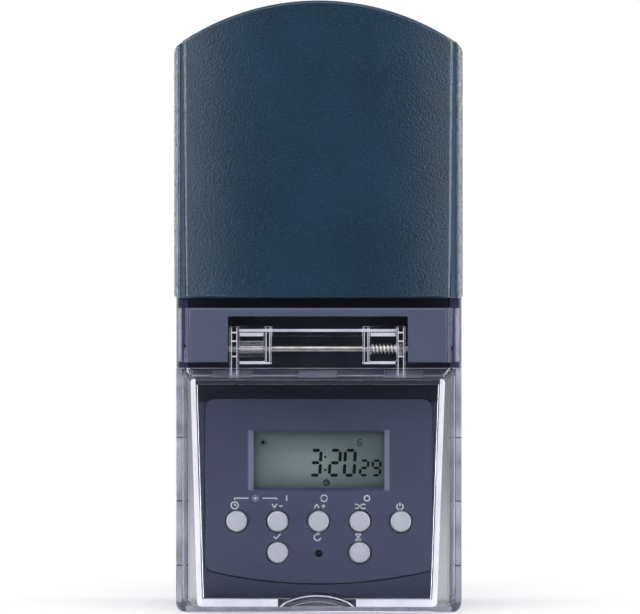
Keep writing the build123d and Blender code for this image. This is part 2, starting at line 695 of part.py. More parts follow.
def main():
    """Builds every piece and writes it to its own file."""
    window, panel, strip = display_stack()
    lid_spring, lid_path = coil_spring(LID_SPRING, LID_AXIS_Y, LID_AXIS_Z, 11.9, 0.3, 1.2)
    cover_spring, cover_path = coil_spring(COVER_SPRING, COVER_AXIS_Y, COVER_AXIS_Z, -3.0, 1.6, 1.6)
    print(f"lid spring gap {coil_gap(lid_path, LID_SPRING):.3f} mm")
    print(f"cover spring gap {coil_gap(cover_path, COVER_SPRING):.3f} mm")
    pieces = {
        "rear_housing": rear_housing(),
        "housing_seal": housing_seal(),
        "housing_screws": housing_screws(),
        "front_housing": front_housing(),
        "plug_insert": plug_insert(),
        "line_pin": contact_pin(-1),
        "neutral_pin": contact_pin(1),
        "plug_gasket": plug_gasket(),
        "plug_earth_clip": plug_earth_clip(),
        "socket_insert": socket_insert(),
        "socket_earth_clip": socket_earth_clip(),
        "shutter": shutter(),
        "line_contact": socket_contact(-1),
        "neutral_contact": socket_contact(1),
        "socket_cover": socket_cover(),
        "cover_gasket": cover_gasket(),
        "cover_hinge_pin": hinge_pin(COVER_AXIS_Y, COVER_AXIS_Z, COVER_PIN_R, KNUCKLE_OUT),
        "cover_spring": cover_spring,
        "clear_lid": clear_lid(),
        "lid_hinge_pin": hinge_pin(LID_AXIS_Y, LID_AXIS_Z, LID_PIN_R, RECESS_HALF + 1.3),
        "lid_spring": lid_spring,
        "control_fascia": control_fascia(),
        "display_window": window,
        "display_panel": panel,
        "display_connector": strip,
        "reset_plunger": reset_plunger(),
        "keypad_membrane": keypad_membrane(),
        "control_board": control_board(),
        "backup_battery": backup_battery(),
        "power_board": power_board(),
        "board_screws": board_screws(),
        "relay": relay(),
        "capacitor": capacitor(),
        "smoothing_capacitor": smoothing_capacitor(),
        "fuse": fuse(),
        "board_link": board_link(),
        "line_bar": power_bar(-1),
        "neutral_bar": power_bar(1),
    }
    for name, (column, z) in BUTTONS.items():
        pieces[name] = button(column, z)
    for name, shape in pieces.items():
        save(name, shape)


main()
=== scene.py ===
"""Visible pieces of a splashproof plug-in timer, built around its CAD frame.

Everything is in metres. X is across, +Y goes into the wall and Z is up. The origin is the centre
of the plug's face.
"""
import math

import bmesh
import bpy
from mathutils import Matrix, Vector


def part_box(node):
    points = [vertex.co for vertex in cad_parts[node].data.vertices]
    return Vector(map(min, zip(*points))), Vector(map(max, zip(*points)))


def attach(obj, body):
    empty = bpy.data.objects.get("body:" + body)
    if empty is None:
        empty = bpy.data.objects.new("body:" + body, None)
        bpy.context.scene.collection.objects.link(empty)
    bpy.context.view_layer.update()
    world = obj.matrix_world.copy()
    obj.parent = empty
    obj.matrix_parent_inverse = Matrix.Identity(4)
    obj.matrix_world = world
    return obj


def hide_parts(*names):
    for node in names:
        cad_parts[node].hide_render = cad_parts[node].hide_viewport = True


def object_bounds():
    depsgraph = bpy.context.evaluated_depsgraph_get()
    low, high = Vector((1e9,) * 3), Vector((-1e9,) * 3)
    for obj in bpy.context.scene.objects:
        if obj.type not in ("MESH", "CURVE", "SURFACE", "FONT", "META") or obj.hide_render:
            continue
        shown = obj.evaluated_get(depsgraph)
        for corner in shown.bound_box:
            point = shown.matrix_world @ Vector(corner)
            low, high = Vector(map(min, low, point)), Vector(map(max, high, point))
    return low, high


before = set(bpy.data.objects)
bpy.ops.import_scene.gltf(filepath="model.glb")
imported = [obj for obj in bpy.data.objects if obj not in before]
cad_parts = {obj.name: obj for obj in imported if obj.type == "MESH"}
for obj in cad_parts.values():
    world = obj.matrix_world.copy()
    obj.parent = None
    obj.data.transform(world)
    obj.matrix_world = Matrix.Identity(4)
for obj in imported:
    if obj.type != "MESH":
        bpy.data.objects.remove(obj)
CAD_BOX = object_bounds()

bl_info = {
    "name": "Plug-in Timer",
    "version": (1, 0, 0),
    "blender": (4, 5, 0),
    "location": "View3D > Sidebar > Timer",
    "description": "Builds the shells, clear lid, panel, display and plug of a splashproof plug-in timer",
    "category": "Object",
}

MM = 0.001
FRONT = Vector((0, -1, 0))

# Places that the pieces share, from the CAD frame
PANEL_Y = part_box("control_fascia")[0].y
WINDOW_LOW, WINDOW_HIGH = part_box("display_window")
DISPLAY_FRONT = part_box("display_panel")[0].y
FLOOR_Z = CAD_BOX[0].z
LID_AXIS = Vector((0, -62.0 * MM, -42.1 * MM))
COVER_AXIS = Vector((0, -56.0 * MM, 31.0 * MM))

# The clear lid: its rim, then the drafted box in front of it
RIM_FRONT_Y = -56.0 * MM
RIM_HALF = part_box("clear_lid")[1].x
RIM_TOP = -46.4 * MM
RIM_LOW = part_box("clear_lid")[0].z
BOX_HALF = 30.5 * MM
SIDE_DRAFT = math.tan(math.radians(14.0))
TOP_DRAFT = math.tan(math.radians(13.0))
FACE_TOP_Y = -65.5 * MM
FACE_SLOPE = (73.5 - 65.5) / (99.6 - 46.4)

# Plates of painted light inside the lid: thickness, place behind the front, gap to the sides, and where they
# run
PLATE = 0.05 * MM
BEHIND_FRONT = 0.95 * MM
SIDE_GAP = 0.05 * MM
LID_BAND = 0.9 * MM
LID_FRONT_TOP = -49.0 * MM
LID_FRONT_LOW = -98.45 * MM
GRIP_HALF = 8.6 * MM
GRIP_CENTRE_Z = -113.1 * MM

# Depth of the mould's grain in millimetres, and how much of its roughness is left on polished sides
GRAIN_DEPTH = 0.09
SIDE_POLISH = 0.55
# A noise's values lie mostly between these two
SPREAD = {"From Min": 0.3, "From Max": 0.7}
# Levels of the room, from behind the camera (0) round its sides (0.5) to behind the object (1)
ROOM_LEVELS = [
    (0.0, 0.014), (0.11, 0.014), (0.33, 0.49), (0.5, 0.7),
    (0.72, 0.38), (0.93, 0.28), (0.975, 1.0), (1.0, 1.0),
]
CEILING_LEVEL = 0.42
BUTTONS = ["clock", "minus", "plus", "random", "power", "set", "countdown"]

# Seven segment figures: strokes in a cell one wide and two high, and the strokes that each figure lights
SEGMENTS = {
    "a": ((0, 2), (1, 2)), "b": ((1, 2), (1, 1)), "c": ((1, 1), (1, 0)), "d": ((0, 0), (1, 0)),
    "e": ((0, 1), (0, 0)), "f": ((0, 2), (0, 1)), "g": ((0, 1), (1, 1)),
}
FIGURES = {
    "0": "abcdef", "1": "bc", "2": "abged", "3": "abgcd", "4": "fgbc",
    "5": "afgcd", "6": "afgedc", "7": "abc", "8": "abcdefg", "9": "abfgcd",
}


def linear(colour):
    """An sRGB hex colour as the linear red, green and blue that Blender's colour sockets hold."""
    parts = [int(colour[i:i + 2], 16) / 255 for i in (1, 3, 5)]
    return [c / 12.92 if c <= 0.04045 else ((c + 0.055) / 1.055) ** 2.4 for c in parts]


def rgba(colour):
    """Three linear values with a full alpha."""
    return (*colour[:3], 1.0)


def colour_property(name, description, default):
    """A colour that the sidebar shows as a swatch."""
    return bpy.props.FloatVectorProperty(
        name=name, description=description, subtype="COLOR", size=3, min=0.0, max=1.0, default=linear(default)
    )


def length_property(name, description, default):
    """A length in metres; the default is given in millimetres."""
    return bpy.props.FloatProperty(
        name=name, description=description, unit="LENGTH", min=0.0, precision=5, default=default * MM
    )


def lid_front(z):
    """Depth of the lid's sloping front at a height."""
    return FACE_TOP_Y + FACE_SLOPE * (z - RIM_TOP)


def lid_top(z):
    """Depth of the lid's drafted top wall at a height."""
    return RIM_FRONT_Y - (RIM_TOP - z) / TOP_DRAFT


def lid_half(y):
    """Half width of the lid's drafted walls at a depth."""
    return BOX_HALF - (RIM_FRONT_Y - y) * SIDE_DRAFT


# ---------------------------------------------------------------- materials


def add(tree, kind, inputs=None, out=0, **settings):
    """Adds a node, gives it its settings, sets or links its inputs, and returns one of its outputs."""
    node = tree.nodes.new("ShaderNode" + kind)
    for name, value in settings.items():
        setattr(node, name, value)
    for socket, value in (inputs or {}).items():
        if isinstance(value, bpy.types.NodeSocket):
            tree.links.new(value, node.inputs[socket])
        else:
            node.inputs[socket].default_value = value
    return node.outputs[out] if node.outputs else None


def start_material(name):
    """A new material with an empty node tree, and the object coordinates for its patterns."""
    material = bpy.data.materials.new(name)
    material.use_nodes = True
    material.node_tree.nodes.clear()
    place = add(material.node_tree, "TexCoord", out="Object")
    return material, material.node_tree, place


def from_middle(tree, place):
    """Distance to the left or right of the object's middle."""
    across = add(tree, "SeparateXYZ", {0: place}, "X")
    return add(tree, "Math", {0: across}, operation="ABSOLUTE")


def pillow(tree, place, half, depth):
    """Height of a face that falls away towards its sides, as a crowned moulding does, and of the narrow
    shoulder beside it, which leans on as the chamfer next to it does."""
    width = from_middle(tree, place)
    share = add(tree, "Math", {0: width, 1: half}, operation="DIVIDE")
    inner = add(tree, "Math", {0: share, 1: 1.0}, operation="MINIMUM")
    fall = add(tree, "Math", {0: inner, 1: 3.0}, operation="POWER")
    crown = add(tree, "Math", {0: fall, 1: -depth}, operation="MULTIPLY")
    lean = {"Value": width, "From Min": half + 0.05 * MM, "From Max": half + 0.4 * MM, "To Max": -0.35 * MM}
    shoulder = add(tree, "MapRange", lean)
    return add(tree, "Math", {0: crown, 1: shoulder}, operation="ADD")


def zone_tone(tree, place, colour, tone, near, far, across, height):
    """Painted light and shade: goes over to another tone between two depths, in a zone given by a middle and
    a reach each way.
    """
    parts = add(tree, "SeparateXYZ", {0: place}).node
    depth = add(tree, "MapRange", {"Value": parts.outputs["Y"], "From Min": near, "From Max": far})
    size = add(tree, "Math", {0: parts.outputs["X"]}, operation="ABSOLUTE")
    wide = add(tree, "Math", {0: size, 1: across[0], 2: across[1]}, operation="COMPARE")
    tall = add(tree, "Math", {0: parts.outputs["Z"], 1: height[0], 2: height[1]}, operation="COMPARE")
    zone = add(tree, "Math", {0: wide, 1: tall}, operation="MULTIPLY")
    share = add(tree, "Math", {0: depth, 1: zone}, operation="MULTIPLY")
    return add(tree, "Mix", {0: share, 6: colour, 7: rgba(tone)}, 2, data_type="RGBA")


def side_polish(tree, place, rough, half, share):
    """Less roughness outside a half width: a mould's sides are polished, so that the part leaves it."""
    reach = {"From Min": half, "From Max": half + 0.2 * MM, "To Min": 1.0, "To Max": share}
    outside = add(tree, "MapRange", {"Value": from_middle(tree, place), **reach})
    return add(tree, "Math", {0: rough, 1: outside}, operation="MULTIPLY")


def moulded_plastic(
    name, dark, light, roughness, grain, depth, drift=14.0, crown=None, zone=None, smooth=None
):
    """Opaque plastic from a spark-eroded mould: an even grain that breaks its sheen into soft glints.

    crown, zone and smooth hold what pillow, zone_tone and side_polish are told.
    """
    material, tree, place = start_material(name)
    # Real grain is 0.1 to 0.2 mm wide, too fine for the picture, so callers ask for a coarser one
    fine = add(tree, "TexNoise", {"Vector": place, "Scale": 1 / (grain * MM), "Detail": 1.0})
    cloud = add(tree, "TexNoise", {"Vector": place, "Scale": 1 / (drift * MM), "Detail": 1.0})
    slow = add(tree, "MapRange", {"Value": cloud, **SPREAD, "To Max": 0.6})
    quick = add(tree, "MapRange", {"Value": fine, **SPREAD, "To Max": 0.4})
    factor = add(tree, "Math", {0: slow, 1: quick}, operation="ADD")
    bump = {"Height": fine, "Distance": depth * MM, "Strength": 1.0}
    if crown:
        rise = pillow(tree, place, *crown)
        bump["Normal"] = add(tree, "Bump", {"Height": rise, "Distance": 1.0, "Strength": 1.0})
    colour = add(tree, "Mix", {0: factor, 6: rgba(dark), 7: rgba(light)}, 2, data_type="RGBA")
    # A zone tone is painted light and shade: the housing's zone is painted shade, the panel's a painted
    # reflection
    if zone:
        colour = zone_tone(tree, place, colour, *zone)
    rough = add(tree, "MapRange", {"Value": fine, "To Min": roughness + 0.17, "To Max": roughness - 0.17})
    if smooth:
        rough = side_polish(tree, place, rough, *smooth)
    surface = add(tree, "BsdfPrincipled", {
        "Base Color": colour,
        "Roughness": rough,
        "IOR": 1.53,
        "Normal": add(tree, "Bump", bump),
    })
    add(tree, "OutputMaterial", {"Surface": surface})
    return material


def tone_drift(tree, noise, dark, light):
    """A colour that goes from one tone to the other as a noise rises."""
    share = add(tree, "MapRange", {"Value": noise, **SPREAD})
    return add(tree, "Mix", {0: share, 6: rgba(dark), 7: rgba(light)}, 2, data_type="RGBA")


def clear_plastic(name, colour, roughness=0.015):
    """Clear plastic with polished faces. A faint haze softens what it mirrors here and there."""
    material, tree, place = start_material(name)
    haze = add(tree, "TexNoise", {"Vector": place, "Scale": 1 / (4.0 * MM), "Detail": 2.0})
    surface = add(tree, "BsdfPrincipled", {
        "Base Color": rgba(colour),
        "Roughness": add(tree, "MapRange", {"Value": haze, "To Min": 0.0, "To Max": 2 * roughness}),
        "IOR": 1.52,
        "Transmission Weight": 1.0,
    })
    add(tree, "OutputMaterial", {"Surface": surface})
    return material


def clear_pane(name, colour):
    """Thin clear sheet with polished faces. It mirrors at its front and lets everything through unbent."""
    material, tree, place = start_material(name)
    haze = add(tree, "TexNoise", {"Vector": place, "Scale": 1 / (4.0 * MM), "Detail": 2.0})
    mirror = add(tree, "BsdfGlossy", {
        "Color": (1, 1, 1, 1),
        "Roughness": add(tree, "MapRange", {"Value": haze, "To Min": 0.0, "To Max": 0.06}),
    })
    through = add(tree, "BsdfTransparent", {"Color": rgba(colour)})
    inside = add(tree, "NewGeometry", out="Backfacing")
    outside = add(tree, "Math", {0: 1.0, 1: inside}, operation="SUBTRACT")
    share = add(tree, "Fresnel", {"IOR": 1.49})
    front = add(tree, "Math", {0: share, 1: outside}, operation="MULTIPLY")
    add(tree, "OutputMaterial", {"Surface": add(tree, "MixShader", {0: front, 1: through, 2: mirror})})
    return material


def painted_lid_glow(name, bright, soft, strength):
    """Painted light: a glowing tone that stands for the light a clear wall carries to its edge, a plain pale
    line, a little weaker in places.
    """
    material, tree, place = start_material(name)
    drift = add(tree, "TexNoise", {"Vector": place, "Scale": 1 / (5.0 * MM), "Detail": 2.0})
    colour = tone_drift(tree, drift, soft, bright)
    surface = add(tree, "BsdfPrincipled", {
        "Base Color": colour,
        "Roughness": 0.5,
        "Emission Color": colour,
        "Emission Strength": strength,
    })
    add(tree, "OutputMaterial", {"Surface": surface})
    return material


def drawn_metal(name, colour, shade, roughness, stretch=(0.04, 1.0, 1.0)):
    """Drawn or rolled metal. Fine lines along it stretch each highlight."""
    material, tree, place = start_material(name)
    # Drawing lines are a few hundredths of a millimetre apart; these are coarser, so that they show
    along = add(tree, "Mapping", {"Vector": place, "Scale": stretch})
    lines = add(tree, "TexNoise", {"Vector": along, "Scale": 1 / (0.12 * MM), "Detail": 2.0})
    stain = add(tree, "TexNoise", {"Vector": place, "Scale": 1 / (2.5 * MM), "Detail": 2.0})
    uneven = {"Value": lines, "To Min": roughness - 0.12, "To Max": roughness + 0.2}
    surface = add(tree, "BsdfPrincipled", {
        "Base Color": tone_drift(tree, stain, shade, colour),
        "Metallic": 1.0,
        "Roughness": add(tree, "MapRange", uneven),
        "Normal": add(tree, "Bump", {"Height": lines, "Distance": 0.003 * MM, "Strength": 1.0}),
    })
    add(tree, "OutputMaterial", {"Surface": surface})
    return material


def moulded_rubber(name, dark, light):
    """Moulded rubber. It is dull, with a bloom of lighter powder here and there."""
    material, tree, place = start_material(name)
    fine = add(tree, "TexNoise", {"Vector": place, "Scale": 1 / (0.4 * MM), "Detail": 3.0})
    bloom = add(tree, "TexNoise", {"Vector": place, "Scale": 1 / (6.0 * MM), "Detail": 3.0})
    surface = add(tree, "BsdfPrincipled", {
        "Base Color": tone_drift(tree, bloom, dark, light),
        "Roughness": add(tree, "MapRange", {"Value": fine, "To Min": 0.5, "To Max": 0.95}),
        "Normal": add(tree, "Bump", {"Height": fine, "Distance": 0.02 * MM, "Strength": 1.0}),
    })
    add(tree, "OutputMaterial", {"Surface": surface})
    return material


def display_glass(name, dark, light):
    """Liquid crystal cell over a foil reflector: a grey green, with painted shade that darkens it towards its
    edges.
    """
    material, tree, place = start_material(name)
    centre = (WINDOW_LOW + WINDOW_HIGH) / 2
    half = (WINDOW_HIGH - WINDOW_LOW) / 2
    local = add(tree, "Mapping", {"Vector": place, "Location": (3.0 * MM - centre.x, 0, 0.6 * MM - centre.z)})
    scaled = add(tree, "Mapping", {"Vector": local, "Scale": (0.85 / half.x, 0.0, 0.95 / half.z)})
    # Painted shade: the tone falls from a point near the middle to the darker tone at the edges
    glow = add(tree, "TexGradient", {"Vector": scaled}, "Fac", gradient_type="QUADRATIC_SPHERE")
    foil = add(tree, "TexNoise", {"Vector": place, "Scale": 1 / (0.18 * MM), "Detail": 2.0})
    wide = add(tree, "MapRange", {"Value": glow, "From Max": 0.6, "To Max": 0.85})
    sparkle = add(tree, "MapRange", {"Value": foil, **SPREAD, "To Max": 0.15})
    factor = add(tree, "Math", {0: wide, 1: sparkle}, operation="ADD")
    surface = add(tree, "BsdfPrincipled", {
        "Base Color": add(tree, "Mix", {0: factor, 6: rgba(dark), 7: rgba(light)}, 2, data_type="RGBA"),
        "Roughness": add(tree, "MapRange", {"Value": foil, "To Min": 0.35, "To Max": 0.65}),
        "IOR": 1.5,
    })
    add(tree, "OutputMaterial", {"Surface": surface})
    return material


def printed_ink(name, dark, light, roughness):
    """Pad printed or cell ink. It is thin and matt, and a little uneven where the pad lifted."""
    material, tree, place = start_material(name)
    lift = add(tree, "TexNoise", {"Vector": place, "Scale": 1 / (0.25 * MM), "Detail": 2.0})
    uneven = {"Value": lift, "To Min": roughness - 0.2, "To Max": roughness + 0.2}
    surface = add(tree, "BsdfPrincipled", {
        "Base Color": tone_drift(tree, lift, dark, light),
        "Roughness": add(tree, "MapRange", uneven),
        "IOR": 1.5,
    })
    add(tree, "OutputMaterial", {"Surface": surface})
    return material


def circuit_laminate(name, mask, trace):
    """Glass epoxy board under green solder mask. Raised copper tracks show as lighter runs."""
    material, tree, place = start_material(name)
    turned = add(tree, "Mapping", {"Vector": place, "Rotation": (math.radians(90), 0, 0)})
    tracks = add(tree, "TexBrick", {"Vector": turned, "Scale": 1 / (9.0 * MM), "Mortar Size": 0.03}, "Fac")
    surface = add(tree, "BsdfPrincipled", {
        "Base Color": add(tree, "Mix", {0: tracks, 6: rgba(mask), 7: rgba(trace)}, 2, data_type="RGBA"),
        "Roughness": 0.35,
        "IOR": 1.5,
        "Normal": add(tree, "Bump", {"Height": tracks, "Distance": 0.03 * MM, "Strength": 1.0}),
    })
    add(tree, "OutputMaterial", {"Surface": surface})
    return material


# ---------------------------------------------------------------- shapes


def verts_of(made):
    """The vertices among what an operator made."""
    return [item for item in made["geom"] if isinstance(item, bmesh.types.BMVert)]


def node_surface(node):
    """A copy of a CAD node's surface, with its doubles merged and its flat faces made whole."""
    bm = bmesh.new()
    bm.from_mesh(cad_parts[node].data)
    bmesh.ops.remove_doubles(bm, verts=bm.verts, dist=1e-6)
    bmesh.ops.dissolve_degenerate(bm, dist=1e-6, edges=bm.edges)
    bmesh.ops.dissolve_limit(bm, angle_limit=math.radians(0.6), verts=bm.verts, edges=bm.edges)
    return bm


def round_edges(bm, width, segments=3, angle=30.0, shortest=1.2 * MM):
    """Rounds the edges that turn by more than an angle, as a mould's edges are."""
    limit = math.radians(angle)
    edges = [e for e in bm.edges if e.calc_face_angle(0.0) > limit and e.calc_length() > shortest]
    bmesh.ops.bevel(
        bm, geom=edges, offset=width, offset_type="OFFSET", affect="EDGES", segments=segments,
        profile=0.5, material=-1, clamp_overlap=False,
    )


def check_inside(bm, name, nodes):
    """Raises where a piece reaches outside the boxes of the CAD nodes that it stands for."""
    if not nodes:
        return
    boxes = [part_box(node) for node in nodes]
    for i in range(3):
        low = min(box[0][i] for box in boxes) - 0.05 * MM
        high = max(box[1][i] for box in boxes) + 0.05 * MM
        reach = [vert.co[i] for vert in bm.verts]
        if min(reach) < low or max(reach) > high:
            raise RuntimeError(f"{name} leaves its box on axis {i}: {min(reach)} to {max(reach)}")


def place_piece(bm, name, body, material, replaces=(), weighted=True):
    """Makes a bmesh a piece: smooth inside 35 degrees, riding on its body, standing for its nodes."""
    check_inside(bm, name, replaces)
    for face in bm.faces:
        face.smooth = True
    for edge in bm.edges:
        edge.smooth = edge.calc_face_angle(0.0) < math.radians(35)
    mesh = bpy.data.meshes.new(name)
    bm.to_mesh(mesh)
    bm.free()
    mesh.materials.append(material)
    piece = bpy.data.objects.new(name, mesh)
    bpy.context.scene.collection.objects.link(piece)
    if weighted:
        modifier = piece.modifiers.new("flat faces", "WEIGHTED_NORMAL")
        modifier.keep_sharp = True
    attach(piece, body)
    if replaces:
        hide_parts(*replaces)


def rounded_piece(node, name, body, material, width, segments=3):
    """A CAD node's surface with rounded edges, as the piece that stands for it."""
    bm = node_surface(node)
    round_edges(bm, width, segments)
    place_piece(bm, name, body, material, [node])


def dress(node, material):
    """Gives a carried-over CAD node its finish."""
    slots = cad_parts[node].material_slots
    if not slots:
        raise RuntimeError(f"{node} has no material slot")
    for slot in slots:
        slot.material = material


def turn_profile(bm, points, centre, axis, steps=48):
    """Spins a line of (radius, distance along the axis) points into a closed round form."""
    axis = Vector(axis).normalized()
    side = axis.orthogonal().normalized()
    verts = [bm.verts.new(Vector(centre) + side * r + axis * along) for r, along in points]
    edges = [bm.edges.new(pair) for pair in zip(verts, verts[1:])]
    bmesh.ops.spin(
        bm, geom=verts + edges, cent=centre, axis=axis, angle=math.tau, steps=steps, use_merge=True
    )
    bmesh.ops.remove_doubles(bm, verts=bm.verts, dist=1e-7)
    bmesh.ops.recalc_face_normals(bm, faces=bm.faces)


def hinge_pin(node, name, axis, nose, material):
    """A steel pin across the object, in its CAD node's place, with a small cone at each end."""
    low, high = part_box(node)
    radius, length = (high.z - low.z) / 2, high.x - low.x
    profile = [(0, 0), (radius - nose, 0), (radius, nose)]
    profile += [(radius, length - nose), (radius - nose, length), (0, length)]
    bm = bmesh.new()
    turn_profile(bm, profile, (low.x, axis.y, axis.z), (1, 0, 0), 32)
    place_piece(bm, name, "housing", material, [node])


def add_block(bm, low, high):
    """A rectangular block between two corners."""
    low, high = Vector(low), Vector(high)
    matrix = Matrix.Translation((low + high) / 2) @ Matrix.Diagonal((*(high - low), 1))
    bmesh.ops.create_cube(bm, size=1.0, matrix=matrix)


class Pen:
    """Draws raised strokes on a plane that faces the viewer. Places are (x, z) in millimetres."""

    def __init__(self, y, thickness, width):
        self.bm = bmesh.new()
        self.y = y
        self.thickness = thickness
        self.width = width

    def fill(self, outline):
        """A filled shape inside a line of points."""
        face = self.bm.faces.new([self.bm.verts.new((x * MM, self.y, z * MM)) for x, z in outline])
        moved = verts_of(bmesh.ops.extrude_face_region(self.bm, geom=[face]))
        bmesh.ops.translate(self.bm, verts=moved, vec=FRONT * self.thickness)

    def line(self, start, end, width=None):
        """A straight stroke with square ends."""
        start, end = Vector(start), Vector(end)
        along = (end - start).normalized()
        across = Vector((-along.y, along.x)) * (width or self.width) / 2
        self.fill([start + across, start - across, end - across, end + across])

    def path(self, *points):
        """Straight strokes from point to point."""
        for start, end in zip(points, points[1:]):
            self.line(start, end)

    def arc(self, centre, radius, start=0.0, end=360.0):
        """A curved stroke, in degrees from the right, counter-clockwise for the viewer."""
        steps = max(6, int(abs(end - start) / 12))
        angles = [math.radians(start + (end - start) * i / steps) for i in range(steps + 1)]
        rims = [radius - self.width / 2, radius + self.width / 2]
        for a, b in zip(angles, angles[1:]):
            corners = [(rims[0], a), (rims[1], a), (rims[1], b), (rims[0], b)]
            self.fill([(centre[0] + r * math.cos(t), centre[1] + r * math.sin(t)) for r, t in corners])

    def disc(self, centre, radius, sides=20):
        """A filled dot."""
        angles = [math.tau * i / sides for i in range(sides)]
        self.fill([(centre[0] + radius * math.cos(t), centre[1] + radius * math.sin(t)) for t in angles])

    def sun(self, centre, core, spokes, width):
        """A dot with eight spokes round it, between two radii."""
        self.disc(centre, core)
        for k in range(8):
            way = Vector((math.cos(math.tau * k / 8), math.sin(math.tau * k / 8)))
            self.line(Vector(centre) + way * spokes[0], Vector(centre) + way * spokes[1], width)

    def clock(self, centre, radius, hands):
        """A ring with an upright hand and one to the right."""
        x, z = centre
        self.arc(centre, radius)
        self.path((x, z + hands[0]), (x, z - 0.05), (x + hands[1], z - 0.05))

    def place(self, name, material, slot):
        """Makes the strokes one piece on the housing."""
        bmesh.ops.recalc_face_normals(self.bm, faces=self.bm.faces)
        place_piece(self.bm, name, "housing", material, weighted=False)


def coil(node, name, material, centre, start, wire, radius, pitch, turns, leads):
    """A torsion spring round an X axis: a wire circle spun along a helix, with a straight leg at each end."""
    bm = bmesh.new()
    steps_per_turn = 40
    steps = int(turns * steps_per_turn)
    lean = math.atan(pitch / (math.tau * radius))
    ring = bmesh.ops.create_circle(bm, cap_ends=False, segments=12, radius=wire / 2)["verts"]
    turn = Matrix.Rotation(lean, 4, "Y")
    place = Matrix.Translation((start, centre.y + radius, centre.z))
    bmesh.ops.transform(bm, matrix=place @ turn, verts=ring)
    edges = list({edge for v in ring for edge in v.link_edges})
    leg_in = verts_of(bmesh.ops.extrude_edge_only(bm, edges=edges))
    heading = Vector((math.sin(lean), 0, math.cos(lean)))
    bmesh.ops.translate(bm, verts=leg_in, vec=-heading * leads[0])
    spun = bmesh.ops.spin(
        bm, geom=edges + ring, cent=(start, centre.y, centre.z), axis=(1, 0, 0),
        dvec=(pitch / steps_per_turn, 0, 0), angle=math.tau * turns, steps=steps, use_merge=False,
    )["geom_last"]
    last_edges = [e for e in spun if isinstance(e, bmesh.types.BMEdge)]
    heading.rotate(Matrix.Rotation(math.tau * turns, 3, "X"))
    leg_out = verts_of(bmesh.ops.extrude_edge_only(bm, edges=last_edges))
    bmesh.ops.translate(bm, verts=leg_out, vec=heading * leads[1])
    bmesh.ops.remove_doubles(bm, verts=bm.verts, dist=1e-7)
    bmesh.ops.holes_fill(bm, edges=[e for e in bm.edges if e.is_boundary], sides=0)
    bmesh.ops.recalc_face_normals(bm, faces=bm.faces)
    place_piece(bm, name, "housing", material, [node], weighted=False)


# ---------------------------------------------------------------- settings


class TimerShellSettings(bpy.types.PropertyGroup):
    """Finish of the housing and the socket cover."""

    cover_dark: colour_property("Cover", "Darker tone of the socket cover", "#142f43")
    cover_light: colour_property("Cover light", "Lighter tone of the socket cover", "#1c3b54")
    shell_dark: colour_property("Housing", "Darker tone of the housing", "#4a516b")
    shell_light: colour_property("Housing light", "Lighter tone of the housing", "#525973")
    grain: length_property("Grain", "Width of the mould's spark-eroded grain, drawn coarse to show", 0.42)
    edge: length_property("Edge", "Radius of the moulded edges", 0.22)


class TimerLidSettings(bpy.types.PropertyGroup):
    """Finish and wire sizes of the clear lid and its hinge."""

    tint: colour_property("Tint", "Colour of the clear plastic", "#fafbff")
    steel: colour_property("Steel", "Bright steel of the pin and the springs", "#dcd9d6")
    steel_shade: colour_property("Steel shade", "Darker steel in the drawing lines", "#b5b0ae")
    spring: colour_property("Spring", "Bright wire of the lid spring", "#f3f1ee")
    edge: length_property("Edge", "Radius of the lid's edges", 0.25)
    wire: length_property("Spring wire", "Diameter of the lid spring's wire", 0.4)


class TimerPanelSettings(bpy.types.PropertyGroup):
    """Finish of the control panel, its print, buttons and display."""

    panel_dark: colour_property("Panel", "Darker tone of the panel", "#565d79")
    panel_light: colour_property("Panel light", "Lighter tone of the panel", "#5e6682")
    print_colour: colour_property("Print", "White ink of the panel's marks", "#ffffff")
    button: colour_property("Buttons", "Grey of the push buttons", "#f2f4fd")
    # The display's edge tone is painted shade near its edges
    display_dark: colour_property("Display edge", "Display's tone near its edges", "#939ea2")
    display_light: colour_property("Display", "Display's brightest tone", "#cfd8da")
    ink: colour_property("Figures", "Display's dark figures", "#0c1219")
    time: bpy.props.StringProperty(name="Time", description="Hours and minutes shown", default="3:20")
    seconds: bpy.props.StringProperty(name="Seconds", description="Seconds on the display", default="29")


class TimerPlugSettings(bpy.types.PropertyGroup):
    """Finish of the plug, the socket and the parts inside."""

    insert_dark: colour_property("Insert", "Darker tone of the plug and socket inserts", "#16181d")
    insert_light: colour_property("Insert light", "Lighter tone of the inserts", "#22252c")
    nickel: colour_property("Nickel", "Plating of the plug pins", "#d8d2c4")
    brass: colour_property("Brass", "Bare brass of the contacts", "#c9a45c")
    rubber: colour_property("Rubber", "Gaskets and seal", "#17181a")


class TimerStageSettings(bpy.types.PropertyGroup):
    """Camera, lamps and floor."""

    azimuth: bpy.props.FloatProperty(
        name="Azimuth", description="Camera's turn to the right", subtype="ANGLE", default=math.radians(1.2)
    )
    distance: length_property("Distance", "Camera's distance from the front", 900.0)
    pixels: bpy.props.FloatProperty(
        name="Pixels per millimetre", description="Scale of the picture at the cover's front", default=4.49
    )
    key_power: bpy.props.FloatProperty(
        name="Key boxes", description="Power of each tall box in front", subtype="POWER", default=2.5
    )
    strip_power: bpy.props.FloatProperty(
        name="Side strips", description="Power of each narrow side box", subtype="POWER", default=2.8
    )
    top_power: bpy.props.FloatProperty(
        name="Top box", description="Power of the box above", subtype="POWER", default=2.5
    )
    room: bpy.props.FloatProperty(name="Room", description="Level of the room's own light", default=1.0)


# ---------------------------------------------------------------- pieces


